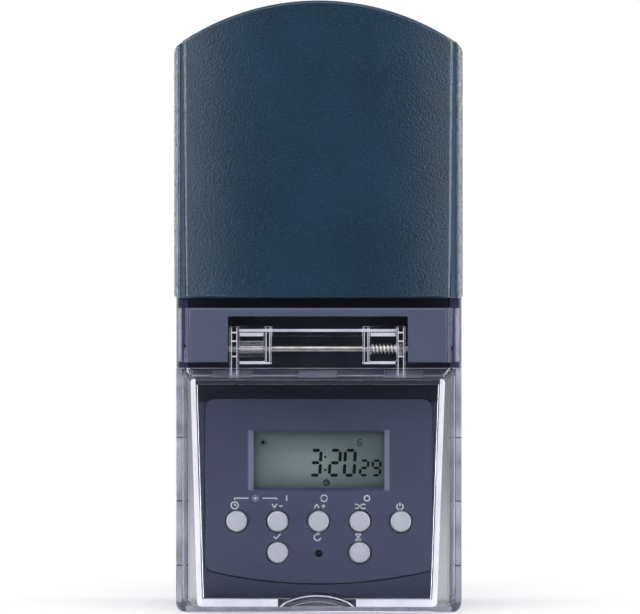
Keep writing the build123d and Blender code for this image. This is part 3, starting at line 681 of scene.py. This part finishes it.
class TIMER_OT_shells(bpy.types.Operator):
    """Front and rear shells of the housing, their seal and screws"""

    bl_idname = "timer.shells"
    bl_label = "Housing Shells"

    def execute(self, context):
        settings = context.scene.timer_shells
        # Painted shade: the sunk floor round the lid's hinge and its recess, which lie in shadow, take a
        # darker tone behind a given depth
        painted_shade_zone = (linear("#23283c"), -62.5 * MM, -58.0 * MM, (0.0, 29.3 * MM), (-42.4 * MM, 11.8 * MM))
        # Eroded ABS: a broad dull sheen with soft glints, and shinier sides
        shell = moulded_plastic(
            "housing_abs_spark_eroded", settings.shell_dark, settings.shell_light, 0.44, settings.grain / MM,
            GRAIN_DEPTH, zone=painted_shade_zone, smooth=(28.8 * MM, SIDE_POLISH),
        )
        for node in ("front_housing", "rear_housing"):
            rounded_piece(node, node + "_shell", "housing", shell, settings.edge)
        # Rubber: nearly black, without a highlight
        dress("housing_seal", moulded_rubber("seal_rubber_moulded", linear("#141517"), linear("#1d1e21")))
        # Zinc plated steel: a soft grey mirror
        steel = drawn_metal("screw_steel_zinc_plated", linear("#c4c6c8"), linear("#96999c"), 0.3)
        rounded_piece("housing_screws", "housing_screw_set", "housing", steel, 0.25 * MM)
        return {"FINISHED"}


class TIMER_OT_cover(bpy.types.Operator):
    """Hinged socket cover with its gasket, hinge pin and spring"""

    bl_idname = "timer.cover"
    bl_label = "Socket Cover"

    def execute(self, context):
        settings = context.scene.timer_shells
        # Eroded ABS, glossier than the housing: its crowned face goes lighter towards the sides
        cover = moulded_plastic(
            "cover_abs_spark_eroded", settings.cover_dark, settings.cover_light, 0.34, settings.grain / MM,
            GRAIN_DEPTH, crown=(30.7 * MM, 3.0 * MM), smooth=(30.75 * MM, SIDE_POLISH),
        )
        rounded_piece("socket_cover", "socket_cover_shell", "cover", cover, settings.edge)
        # Rubber: dull, with a faint grey bloom
        rubber = moulded_rubber("gasket_rubber_moulded", linear("#17181a"), linear("#212225"))
        rounded_piece("cover_gasket", "cover_gasket_ring", "cover", rubber, 0.3 * MM)
        # Drawn steel: highlights stretched along the wire
        steel = drawn_metal("cover_pin_steel_drawn", linear("#c8c8c8"), linear("#9a9a9a"), 0.28)
        hinge_pin("cover_hinge_pin", "cover_pin", COVER_AXIS, 0.25 * MM, steel)
        coil(
            "cover_spring", "cover_coil", steel, COVER_AXIS, start=-3.0 * MM, wire=0.6 * MM, radius=1.6 * MM,
            pitch=1.05 * MM, turns=4.75, leads=(1.6 * MM, 1.6 * MM),
        )
        return {"FINISHED"}


class TIMER_OT_lid(bpy.types.Operator):
    """Clear lid with its steel pin and coil spring"""

    bl_idname = "timer.lid"
    bl_label = "Clear Lid"

    def execute(self, context):
        settings = context.scene.timer_lid
        # Polycarbonate: water clear, with sharp mirror lines at its corners
        clear = clear_plastic("lid_polycarbonate_moulded", settings.tint)
        rounded_piece("clear_lid", "clear_lid_shell", "lid", clear, settings.edge, 4)
        # Drawn steel: a satin pin, and a brighter spring wire
        steel = drawn_metal("hinge_steel_drawn", settings.steel, settings.steel_shade, 0.38)
        spring = drawn_metal("spring_steel_drawn", settings.spring, [c * 0.75 for c in settings.spring], 0.3)
        hinge_pin("lid_hinge_pin", "lid_pin", LID_AXIS, 0.2 * MM, steel)
        coil(
            "lid_spring", "lid_coil", spring, LID_AXIS, start=11.9 * MM, wire=settings.wire, radius=0.95 * MM,
            pitch=0.82 * MM, turns=7.75, leads=(1.2 * MM, 0.3 * MM),
        )
        return {"FINISHED"}


class TIMER_OT_gleams(bpy.types.Operator):
    """Painted light and shade: glowing lines and bands inside the clear lid's corners, walls and hinge frame
    """

    bl_idname = "timer.gleams"
    bl_label = "Lid Light Lines"

    def execute(self, context):
        # Each is painted light: a glowing plate that stands for a highlight, a grey reflection or a line of
        # shade
        lights = [
            ("lid_corner_bands", self.corners, ("painted_highlight_lid_corner", "#f3f3fa", "#e2e3ee", 0.36)),
            ("lid_floor_bands", self.floor_bands, ("painted_highlight_lid_floor", "#e3e2ee", "#d3d3e0", 0.4)),
            ("lid_frame_bands", self.frame_bands, ("painted_highlight_lid_frame", "#e6e7f2", "#c4c6d6", 0.4)),
            ("lid_edge_lines", self.edge_lines, ("painted_highlight_lid_edge", "#c9cad8", "#9496a8", 0.3)),
            ("lid_top_patches", self.top_patches, ("painted_highlight_lid_top", "#a1a6bb", "#8d92a8", 0.2)),
            ("lid_top_shade", self.top_shade, ("painted_light_lid_top_wall", "#73778d", "#666a81", 0.2)),
            ("lid_corner_shade", self.corner_shade, ("painted_shade_lid_top_corner", "#23293e", "#1e2336", 0.1)),
        ]
        for name, draw, (material, bright, soft, strength) in lights:
            bm = bmesh.new()
            draw(bm)
            bmesh.ops.recalc_face_normals(bm, faces=bm.faces)
            light = painted_lid_glow(material, linear(bright), linear(soft), strength)
            place_piece(bm, name, "lid", light, weighted=False)
        return {"FINISHED"}

    def corners(self, bm):
        """Painted highlight bands in the solid corners between the lid's front and its side walls."""
        for side in (-1, 1):
            corners = []
            for z in (LID_FRONT_TOP, LID_FRONT_LOW):
                outer = lid_half(lid_front(z)) - SIDE_GAP
                corners += [(side * outer, z), (side * (outer - LID_BAND), z)]
            self.plate(bm, [corners[0], corners[1], corners[3], corners[2]], lid_front, BEHIND_FRONT)

    def floor_bands(self, bm):
        """Painted highlight band in the corner over the lid's floor, left out at the grip, with its ends in
        the floor.
        """
        half = lid_half(lid_front(LID_FRONT_LOW)) - SIDE_GAP
        low, high = LID_FRONT_LOW, LID_FRONT_LOW + 1.4 * MM
        for side in (-1, 1):
            near, far = side * GRIP_HALF, side * half
            self.plate(bm, [(near, low), (far, low), (far, high), (near, high)], lid_front, BEHIND_FRONT)
            self.patch(bm, side * 26.4, side * 28.8, -99.15, -98.3, -60.8 * MM)
        # Two arcs over the grip, each with its radius and how many degrees it reaches to either side
        width = 0.22
        for radius, reach in ((16.9, 29), (15.8, 21)):
            for step in range(-6, 6):
                a, b = [math.radians(90 - reach * (step + k) / 6) for k in (0, 1)]
                rims = [(radius, a), (radius, b), (radius - width, b), (radius - width, a)]
                corners = [(r * math.cos(t) * MM, GRIP_CENTRE_Z + r * math.sin(t) * MM) for r, t in rims]
                self.plate(bm, corners, lid_front, BEHIND_FRONT)

    def frame_bands(self, bm):
        """Painted highlights: bright bands in the hinge frame's bar and boxes, and the edges of its cheeks.
        """
        depth = LID_AXIS.y - 0.7 * MM
        self.patch(bm, -17.5, 17.3, -38.3, -37.7, depth)
        for low, high in ((-17.4, -12.1), (11.7, 17.2)):
            self.patch(bm, low, high, -39.25, -38.5, depth)
        for low, high in ((-17.4, -10.6), (10.2, 17.2)):
            self.patch(bm, low, high, -45.3, -45.0, depth)
        depth = LID_AXIS.y - 1.2 * MM
        for foot, places in ((-44.9, (-11.6, -10.8, 10.2, 11.0)), (-48.0, (-19.3, -18.1, 17.7, 18.9))):
            for x in places:
                self.patch(bm, x, x + 0.2, foot, -37.4, depth)
        for low, high in ((-19.1, -18.1), (17.9, 18.9)):
            for top in (-38.3, -40.2, -43.6):
                self.patch(bm, low, high, top - 0.35, top, depth)

    def edge_lines(self, bm):
        """Painted highlights: a pale rim line with short gaps where the mould's inserts meet, and hair lines
        along the lid's top.
        """
        depth = RIM_FRONT_Y + 0.3 * MM
        half, top, foot = RIM_HALF / MM - 0.15, RIM_TOP / MM, RIM_LOW / MM
        line = 0.14
        gaps = [-62.0, -76.2, -90.6]
        for side in (-1, 1):
            for high, low in zip([top - 0.2, *gaps], [*gaps, foot + 2.0]):
                self.patch(bm, side * half, side * (half - 1.1), low + line, high - line, depth)
        self.patch(bm, -half + 2.0, half - 2.0, foot + 0.15, foot + 1.25, depth)
        self.patch(bm, -half, half, top - 0.25, top - 0.1, depth)
        for low, high in ((-28.0, -23.8), (-14.8, -4.6), (4.4, 14.8), (23.6, 28.0)):
            self.top_plate(bm, low, high, -48.35, -48.1)
        self.top_plate(bm, -28.6, 28.6, -46.85, -46.65)
        for x in (-14.95, 14.7):
            self.top_plate(bm, x, x + 0.15, -48.7, -47.0)

    def top_patches(self, bm):
        """Painted highlights: lighter patches in the lid's top wall, under the hinge arms and between them.
        """
        for low, high in ((-23.6, -15.1), (-4.4, 4.2), (15.0, 23.4)):
            self.top_plate(bm, low, high, -48.65, -47.15, 1.3)

    def top_shade(self, bm):
        """Painted light: a glowing grey plate for what the drafted top wall shows, seen along its slope."""
        self.top_plate(bm, -27.9, 27.9, -48.7, -47.1, 1.4)

    def corner_shade(self, bm):
        """Painted shade: a dark line in the solid corner between the lid's front and its top wall."""
        low, high = -49.95 * MM, -48.8 * MM
        half = 27.1 * MM
        self.plate(bm, [(-half, low), (half, low), (half, high), (-half, high)], lid_front, 0.9 * MM)

    def patch(self, bm, left, right, low, high, y):
        """A thin upright rectangle at a depth. Its sides and heights are in millimetres."""
        left, right = sorted((left, right))
        add_block(bm, (left * MM, y, low * MM), (right * MM, y + PLATE, high * MM))

    def top_plate(self, bm, left, right, low, high, behind=1.2):
        """A thin rectangle inside the drafted top wall. Its places are in millimetres."""
        corners = [(left, low), (right, low), (right, high), (left, high)]
        self.plate(bm, [(x * MM, z * MM) for x, z in corners], lid_top, behind * MM)

    def plate(self, bm, corners, surface, behind):
        """A thin four-sided plate at a distance behind one of the lid's sloping faces."""
        face = bm.faces.new([bm.verts.new((x, surface(z) + behind, z)) for x, z in corners])
        moved = verts_of(bmesh.ops.extrude_face_region(bm, geom=[face], use_keep_orig=True))
        bmesh.ops.translate(bm, verts=moved, vec=(0, PLATE, 0))


class TIMER_OT_panel(bpy.types.Operator):
    """Inset control panel with its display bezel and printed marks"""

    bl_idname = "timer.panel"
    bl_label = "Control Panel"

    def execute(self, context):
        settings = context.scene.timer_panel
        # Painted reflection: the bezel's side chamfers take a pale tone that stands for the lit sides of the
        # lid
        near, far = PANEL_Y + 0.05 * MM, PANEL_Y + 0.25 * MM
        painted_reflection_zone = (linear("#9a9fbe"), near, far, (15.6 * MM, 1.0 * MM), (-67.2 * MM, 7.6 * MM))
        # Satin ABS: even and calm, with hardly any grain
        panel = moulded_plastic(
            "panel_abs_satin", settings.panel_dark, settings.panel_light, 0.45, 0.3, 0.01, zone=painted_reflection_zone
        )
        rounded_piece("control_fascia", "control_panel", "housing", panel, 0.16 * MM)
        self.marks(settings)
        return {"FINISHED"}

    def marks(self, settings):
        """White signs over the buttons: lines and simple shapes only."""
        # White ink: matt, and a little thin in places
        white = printed_ink("panel_ink_pad_printed", linear("#f0f1f8"), settings.print_colour, 0.5)
        pen = Pen(PANEL_Y, 0.02 * MM, 0.3)
        # clock face over the first button
        pen.clock((-18.85, -77.35), 0.8, (0.5, 0.4))
        # bracket that joins the first two buttons, with a sun between its halves
        pen.path((-18.9, -76.1), (-18.9, -75.75), (-15.8, -75.75))
        pen.path((-12.6, -75.75), (-9.4, -75.75), (-9.4, -76.1))
        pen.sun((-14.2, -75.75), 0.3, (0.48, 0.78), 0.16)
        # down and minus
        pen.path((-10.5, -77.0), (-9.95, -77.9), (-9.4, -77.0))
        pen.line((-8.9, -77.5), (-8.1, -77.5))
        # on stroke
        pen.line((-7.2, -76.35), (-7.2, -75.15), 0.32)
        # two arrows in a circle
        for turn in (20, 200):
            pen.arc((1.2, -75.75), 0.72, turn, turn + 130)
            tip = math.radians(turn + 150)
            pen.disc((1.2 + 0.72 * math.cos(tip), -75.75 + 0.72 * math.sin(tip)), 0.26, 3)
        # up and plus
        pen.path((-1.0, -77.95), (-0.45, -77.05), (0.1, -77.95))
        pen.line((0.6, -77.5), (1.5, -77.5))
        pen.line((1.05, -77.05), (1.05, -77.95))
        # off ring
        pen.arc((10.8, -75.75), 0.6)
        # crossing arrows
        pen.path((8.1, -77.1), (8.7, -77.1), (9.7, -78.0), (10.2, -78.0))
        pen.path((8.1, -78.0), (8.7, -78.0), (9.7, -77.1), (10.2, -77.1))
        for z in (-77.1, -78.0):
            pen.fill([(10.1, z + 0.28), (10.1, z - 0.28), (10.65, z)])
        # power sign
        pen.arc((18.2, -77.6), 0.7, 125, 415)
        pen.line((18.2, -76.7), (18.2, -77.55))
        # tick
        pen.path((-10.1, -84.3), (-9.6, -84.85), (-8.6, -83.75))
        # arrow round to its start
        pen.arc((-0.3, -84.5), 0.72, 60, 350)
        pen.fill([(-0.3, -83.35), (-0.3, -84.15), (0.45, -83.75)])
        # hourglass
        pen.path((8.2, -83.75), (9.5, -83.75), (8.2, -85.2), (9.5, -85.2), (8.2, -83.75))
        pen.place("panel_marks", white, "panel_abs")


class TIMER_OT_buttons(bpy.types.Operator):
    """Seven round push buttons and the reset pin"""

    bl_idname = "timer.buttons"
    bl_label = "Push Buttons"

    def execute(self, context):
        settings = context.scene.timer_panel
        # Satin ABS: a pale grey with a soft light on each rounded rim
        grey = moulded_plastic(
            "button_abs_satin", [c * 0.94 for c in settings.button], settings.button, 0.4, 0.25, 0.006, 5.0
        )
        # Radius and height of the flange, radius of the cap and of its rim, and how far the top is domed
        flange, step, cap, rim, dome = [value * MM for value in (3.0, 0.7, 2.3, 0.42, 0.06)]
        for name in BUTTONS:
            low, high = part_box(name + "_button")
            centre = (low + high) / 2
            depth = high.y - low.y
            profile = [(0, 0), (flange, 0), (flange, step), (cap, step), (cap, depth - rim)]
            for k in range(1, 7):
                turn = math.radians(15 * k)
                profile.append((cap - rim + rim * math.cos(turn), depth - rim + rim * math.sin(turn) - dome))
            profile += [(1.2 * MM, depth - 0.01 * MM), (0, depth)]
            bm = bmesh.new()
            turn_profile(bm, profile, (centre.x, high.y, centre.z), FRONT, 48)
            place_piece(bm, name + "_cap", name + "_key", grey, [name + "_button"])
        # Satin ABS: a dark dot in its hole
        dark = moulded_plastic("reset_abs_satin", linear("#101218"), linear("#181b22"), 0.5, 0.25, 0.006)
        dress("reset_plunger", dark)
        return {"FINISHED"}


class TIMER_OT_display(bpy.types.Operator):
    """Display cell with its figures, and the clear pane in front"""

    bl_idname = "timer.display"
    bl_label = "Display"

    def execute(self, context):
        settings = context.scene.timer_panel
        # Reflective cell: a grey green behind its figures, with painted shade towards its edges
        cell = display_glass("display_cell_reflective", settings.display_dark, settings.display_light)
        bm = bmesh.new()
        low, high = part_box("display_panel")
        add_block(bm, low, high)
        round_edges(bm, 0.1 * MM)
        place_piece(bm, "display_cell", "housing", cell, ["display_panel"])
        # Polished acrylic: hardly seen but for what it mirrors
        pane = clear_pane("window_acrylic_polished", linear("#f4f7f5"))
        bm = bmesh.new()
        add_block(bm, WINDOW_LOW, (WINDOW_HIGH.x, WINDOW_HIGH.y - 0.25 * MM, WINDOW_HIGH.z))
        round_edges(bm, 0.08 * MM)
        place_piece(bm, "display_pane", "housing", pane, ["display_window"])
        self.figures(settings)
        return {"FINISHED"}

    def figures(self, settings):
        """Seven segment figures: hours and minutes large, seconds and day small, and three plain signs."""
        # Dark crystal: blue black strokes with clean ends
        ink = printed_ink("display_ink_liquid_crystal", settings.ink, [c * 1.5 for c in settings.ink], 0.5)
        pen = Pen(DISPLAY_FRONT, 0.02 * MM, 0.3)
        left, base = -2.05, -70.7
        for figure in settings.time:
            if figure == ":":
                for z in (-66.6, -69.5):
                    pen.disc((left + 0.1, z), 0.27, 12)
                left += 1.0
            else:
                self.figure(pen, figure, left, base, 2.2, 5.6, 0.72)
                left += 3.35
        for k, figure in enumerate(settings.seconds):
            self.figure(pen, figure, 9.2 + 2.75 * k, base, 1.7, 3.3, 0.56)
        self.figure(pen, "6", 8.7, -64.15, 0.85, 1.5, 0.26)
        # sun sign at the left, and a clock sign under the figures
        pen.sun((-12.6, -63.3), 0.42, (0.6, 0.95), 0.18)
        pen.clock((1.7, -72.35), 0.6, (0.4, 0.35))
        pen.place("display_figures", ink, "display_glass")

    def figure(self, pen, figure, left, bottom, width, height, stroke):
        """One figure of pointed segments, leaning a little to the right."""
        lean, gap = 0.06, 0.05
        for name in FIGURES[figure]:
            (x1, z1), (x2, z2) = [(x * width, z * height / 2) for x, z in SEGMENTS[name]]
            start, end = Vector((x1, z1)), Vector((x2, z2))
            along = (end - start).normalized()
            across = Vector((-along.y, along.x)) * stroke / 2
            start, end = start + along * (gap + stroke * 0.2), end - along * (gap + stroke * 0.2)
            near, far = start + along * stroke * 0.42, end - along * stroke * 0.42
            points = [start, near + across, far + across, end, far - across, near - across]
            pen.fill([(left + p.x + p.y * lean, bottom + p.y) for p in points])


class TIMER_OT_plug(bpy.types.Operator):
    """Plug nose with its pins, earth clip and gasket"""

    bl_idname = "timer.plug"
    bl_label = "Plug"

    def execute(self, context):
        settings = context.scene.timer_plug
        # Polyamide: black, with a soft moulded sheen
        black = moulded_plastic(
            "plug_pa_moulded", settings.insert_dark, settings.insert_light, 0.38, 0.4, 0.012
        )
        rounded_piece("plug_insert", "plug_nose", "housing", black, 0.25 * MM)
        # Nickel on turned brass: a warm bright mirror
        shade = [c * 0.75 for c in settings.nickel]
        nickel = drawn_metal("pin_brass_nickel_plated", settings.nickel, shade, 0.2, (1.0, 0.04, 1.0))
        # Radius of the pin and of its collar, and the collar's small chamfer
        radius, collar, bevel = 2.4 * MM, 2.9 * MM, 0.1 * MM
        for node in ("line_pin", "neutral_pin"):
            low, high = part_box(node)
            centre = (low + high) / 2
            tip = high.y - radius
            profile = [(0, low.y), (collar, low.y), (collar, -bevel), (collar - bevel, 0)]
            profile += [(radius, 0), (radius, tip)]
            for k in range(1, 10):
                turn = math.radians(9 * k)
                profile.append((radius * math.cos(turn), tip + radius * math.sin(turn)))
            profile.append((0, high.y))
            bm = bmesh.new()
            turn_profile(bm, profile, (centre.x, 0, centre.z), (0, 1, 0), 48)
            place_piece(bm, node + "_bar", "housing", nickel, [node])
        # Rubber: duller than the plug that it surrounds
        rubber = moulded_rubber("plug_gasket_rubber", settings.rubber, [c * 1.6 for c in settings.rubber])
        rounded_piece("plug_gasket", "plug_gasket_ring", "housing", rubber, 0.3 * MM)
        rounded_piece("plug_earth_clip", "plug_earth_strip", "housing", nickel, 0.12 * MM)
        return {"FINISHED"}


class TIMER_OT_socket(bpy.types.Operator):
    """Socket well with its earth blades, shutter and contacts"""

    bl_idname = "timer.socket"
    bl_label = "Socket"

    def execute(self, context):
        settings = context.scene.timer_plug
        # Polyamide: black, with a soft moulded sheen
        black = moulded_plastic(
            "socket_pa_moulded", settings.insert_dark, settings.insert_light, 0.36, 0.4, 0.012
        )
        rounded_piece("socket_insert", "socket_well", "housing", black, 0.2 * MM)
        # Nickel on rolled strip: bright blades in the dark well
        shade = [c * 0.75 for c in settings.nickel]
        nickel = drawn_metal("earth_spring_nickel_plated", settings.nickel, shade, 0.22, (1.0, 0.05, 0.05))
        edge = 0.12 * MM
        rounded_piece("socket_earth_clip", "socket_earth_blades", "housing", nickel, edge)
        # Acetal: a waxy off-white
        white = moulded_plastic("shutter_pom_moulded", linear("#b9b4a6"), linear("#c6c2b5"), 0.4, 0.4, 0.01)
        rounded_piece("shutter", "shutter_plate", "shutter_slide", white, 0.15 * MM)
        # Rolled brass: yellow, with fine lines
        brass = drawn_metal("contact_brass_rolled", settings.brass, [c * 0.7 for c in settings.brass], 0.3)
        for node in ("line_contact", "neutral_contact", "line_bar", "neutral_bar"):
            dress(node, brass)
        return {"FINISHED"}


class TIMER_OT_inside(bpy.types.Operator):
    """Boards and components inside the housing, carried over with their finishes"""

    bl_idname = "timer.inside"
    bl_label = "Inside Parts"

    def execute(self, context):
        # Solder mask: glossy green over lighter tracks
        board = circuit_laminate("board_laminate_masked", linear("#174a31"), linear("#2c6a48"))
        for node in ("control_board", "power_board"):
            dress(node, board)
        plastics = [
            # Matt dark plastic, then a smooth blue case
            ("board_link", "link_pbt_moulded", "#16171a", "#202226", 0.5, 0.4, 0.01),
            ("relay", "relay_pbt_moulded", "#1f4d86", "#28599a", 0.4, 0.4, 0.01),
            # Dipped epoxy, glossy and lumpy, then two glossy shrunk sleeves
            ("capacitor", "capacitor_epoxy_dipped", "#8d3a22", "#9c452a", 0.3, 0.9, 0.02),
            ("smoothing_capacitor", "capacitor_sleeve_shrunk", "#1c2026", "#262b33", 0.3, 1.2, 0.01),
            ("backup_battery", "battery_sleeve_shrunk", "#2a6a3a", "#357a46", 0.35, 1.2, 0.01),
        ]
        for node, name, dark, light, roughness, grain, depth in plastics:
            dress(node, moulded_plastic(name, linear(dark), linear(light), roughness, grain, depth))
        # Plated steel: a soft grey mirror
        steel = drawn_metal("board_screw_steel_plated", linear("#c4c6c8"), linear("#96999c"), 0.3)
        dress("board_screws", steel)
        # Glass: clear, with a green tinge
        dress("fuse", clear_plastic("fuse_tube_glass", linear("#e9f2ee")))
        # Silicone: grey and dull
        rubber = moulded_rubber("keypad_silicone_moulded", linear("#6d7076"), linear("#7b7e84"))
        for node in ("keypad_membrane", "display_connector"):
            dress(node, rubber)
        return {"FINISHED"}


class TIMER_OT_stage(bpy.types.Operator):
    """White floor, even room light, three soft lamps and the camera"""

    bl_idname = "timer.stage"
    bl_label = "Stage"

    def execute(self, context):
        settings = context.scene.timer_stage
        self.floor()
        self.room(settings)
        target = Vector((0.4 * MM, -60.0 * MM, -32.8 * MM))
        for side, name in ((-1, "left"), (1, "right")):
            self.lamp(name + "_key", (side * 0.5, -0.62, 0.15), target, 0.35, 0.9, settings.key_power)
            self.lamp(name + "_strip", (side * 0.5, -0.05, 0.0), target, 0.09, 0.9, settings.strip_power)
        self.lamp("top_lamp", (0.0, -0.42, 0.72), target, 0.8, 0.5, settings.top_power)
        camera = bpy.data.cameras.new("camera")
        camera.sensor_width = 36.0
        picture_width = 640
        camera.lens = settings.pixels * camera.sensor_width * settings.distance / MM / picture_width
        camera.clip_start, camera.clip_end = 0.01, 20.0
        seat = bpy.data.objects.new("camera", camera)
        back = Vector((math.sin(settings.azimuth), -math.cos(settings.azimuth), 0))
        seat.location = target + back * settings.distance
        seat.rotation_euler = back.to_track_quat("Z", "Y").to_euler()
        context.scene.collection.objects.link(seat)
        context.scene.camera = seat
        context.scene.view_settings.view_transform = "Standard"
        return {"FINISHED"}

    def floor(self):
        """A wide white board. It keeps the shadow near the object and fades to the white of the room."""
        material, tree, place = start_material("floor_board_painted")
        speck = add(tree, "TexNoise", {"Vector": place, "Scale": 1 / (3.0 * MM), "Detail": 2.0})
        shade = {0: speck, 6: rgba(linear("#f1f1f3")), 7: rgba(linear("#f8f8f9"))}
        white = add(tree, "Mix", shade, 2, data_type="RGBA")
        diffuse = add(tree, "BsdfDiffuse", {"Color": white})
        glow = add(tree, "Emission", {"Color": (1, 1, 1, 1), "Strength": 1.0})
        flat = add(tree, "Mapping", {"Vector": place, "Scale": (1, 1, 0)})
        reach = add(tree, "VectorMath", {0: flat}, "Value", operation="LENGTH")
        fade = add(tree, "MapRange", {"Value": reach, "From Min": 0.035, "From Max": 0.085})
        seen = add(tree, "LightPath", out="Is Camera Ray")
        far = add(tree, "Math", {0: fade, 1: seen}, operation="MULTIPLY")
        add(tree, "OutputMaterial", {"Surface": add(tree, "MixShader", {0: far, 1: diffuse, 2: glow})})
        bm = bmesh.new()
        middle = Matrix.Translation((0, 1.38, FLOOR_Z))
        bmesh.ops.create_circle(bm, cap_ends=True, segments=64, radius=1.5, matrix=middle)
        mesh = bpy.data.meshes.new("floor")
        bm.to_mesh(mesh)
        bm.free()
        mesh.materials.append(material)
        board = bpy.data.objects.new("floor", mesh)
        bpy.context.scene.collection.objects.link(board)

    def room(self, settings):
        """A pale room that is dark around the camera, so that faces and glass turned to it stay clear."""
        world = bpy.data.worlds.new("room")
        bpy.context.scene.world = world
        world.use_nodes = True
        tree = world.node_tree
        tree.nodes.clear()
        direction = add(tree, "TexCoord", out="Generated")
        parts = add(tree, "SeparateXYZ", {0: direction}).node
        along = add(tree, "MapRange", {"Value": parts.outputs["Y"], "From Min": -1.0})
        ramp = add(tree, "ValToRGB", {"Fac": along}).node
        stops = ramp.color_ramp.elements
        while len(stops) < len(ROOM_LEVELS):
            stops.new(0.5)
        for stop, (place, level) in zip(stops, ROOM_LEVELS):
            stop.position = place
        for stop, (place, level) in zip(stops, ROOM_LEVELS):
            stop.color = (level, level, level, 1.0)
        high = {"Value": parts.outputs["Z"], "From Min": 0.33, "From Max": 0.42, "To Max": CEILING_LEVEL}
        ceiling = add(tree, "MapRange", high)
        level = add(tree, "Math", {0: ramp.outputs[0], 1: ceiling}, operation="MAXIMUM")
        room = add(tree, "Background", {"Color": level, "Strength": settings.room})
        white = add(tree, "Background", {"Color": (1, 1, 1, 1), "Strength": 1.0})
        seen = add(tree, "LightPath", out="Is Camera Ray")
        add(tree, "OutputWorld", {"Surface": add(tree, "MixShader", {0: seen, 1: room, 2: white})})

    def lamp(self, name, place, target, width, height, power):
        """A soft box that faces the object."""
        light = bpy.data.lights.new(name, "AREA")
        light.shape = "RECTANGLE"
        light.size, light.size_y = width, height
        light.energy = power
        box = bpy.data.objects.new(name, light)
        box.location = place
        box.rotation_euler = (Vector(place) - target).to_track_quat("Z", "Y").to_euler()
        bpy.context.scene.collection.objects.link(box)


class TIMER_PT_sidebar(bpy.types.Panel):
    """Settings and steps of the timer"""

    bl_idname = "TIMER_PT_sidebar"
    bl_label = "Plug-in Timer"
    bl_space_type = "VIEW_3D"
    bl_region_type = "UI"
    bl_category = "Timer"

    def draw(self, context):
        for name, group in SETTINGS.items():
            box = self.layout.box()
            settings = getattr(context.scene, name)
            for key in group.__annotations__:
                box.prop(settings, key)
        for step in STEPS:
            self.layout.operator(step.bl_idname)


SETTINGS = {
    "timer_shells": TimerShellSettings,
    "timer_lid": TimerLidSettings,
    "timer_panel": TimerPanelSettings,
    "timer_plug": TimerPlugSettings,
    "timer_stage": TimerStageSettings,
}
STEPS = [
    TIMER_OT_shells,
    TIMER_OT_cover,
    TIMER_OT_lid,
    TIMER_OT_gleams,
    TIMER_OT_panel,
    TIMER_OT_buttons,
    TIMER_OT_display,
    TIMER_OT_plug,
    TIMER_OT_socket,
    TIMER_OT_inside,
    TIMER_OT_stage,
]


def register():
    """Registers the settings, the steps and the sidebar."""
    for name, group in SETTINGS.items():
        bpy.utils.register_class(group)
        setattr(bpy.types.Scene, name, bpy.props.PointerProperty(type=group))
    for item in [*STEPS, TIMER_PT_sidebar]:
        bpy.utils.register_class(item)


def unregister():
    """Takes the sidebar, the steps and the settings away again."""
    for item in [TIMER_PT_sidebar, *reversed(STEPS)]:
        bpy.utils.unregister_class(item)
    for name, group in reversed(SETTINGS.items()):
        delattr(bpy.types.Scene, name)
        bpy.utils.unregister_class(group)


def main():
    """Builds every piece in order."""
    register()
    bpy.ops.timer.shells()
    bpy.ops.timer.cover()
    bpy.ops.timer.lid()
    bpy.ops.timer.gleams()
    bpy.ops.timer.panel()
    bpy.ops.timer.buttons()
    bpy.ops.timer.display()
    bpy.ops.timer.plug()
    bpy.ops.timer.socket()
    bpy.ops.timer.inside()
    bpy.ops.timer.stage()


if __name__ == "__main__":
    main()
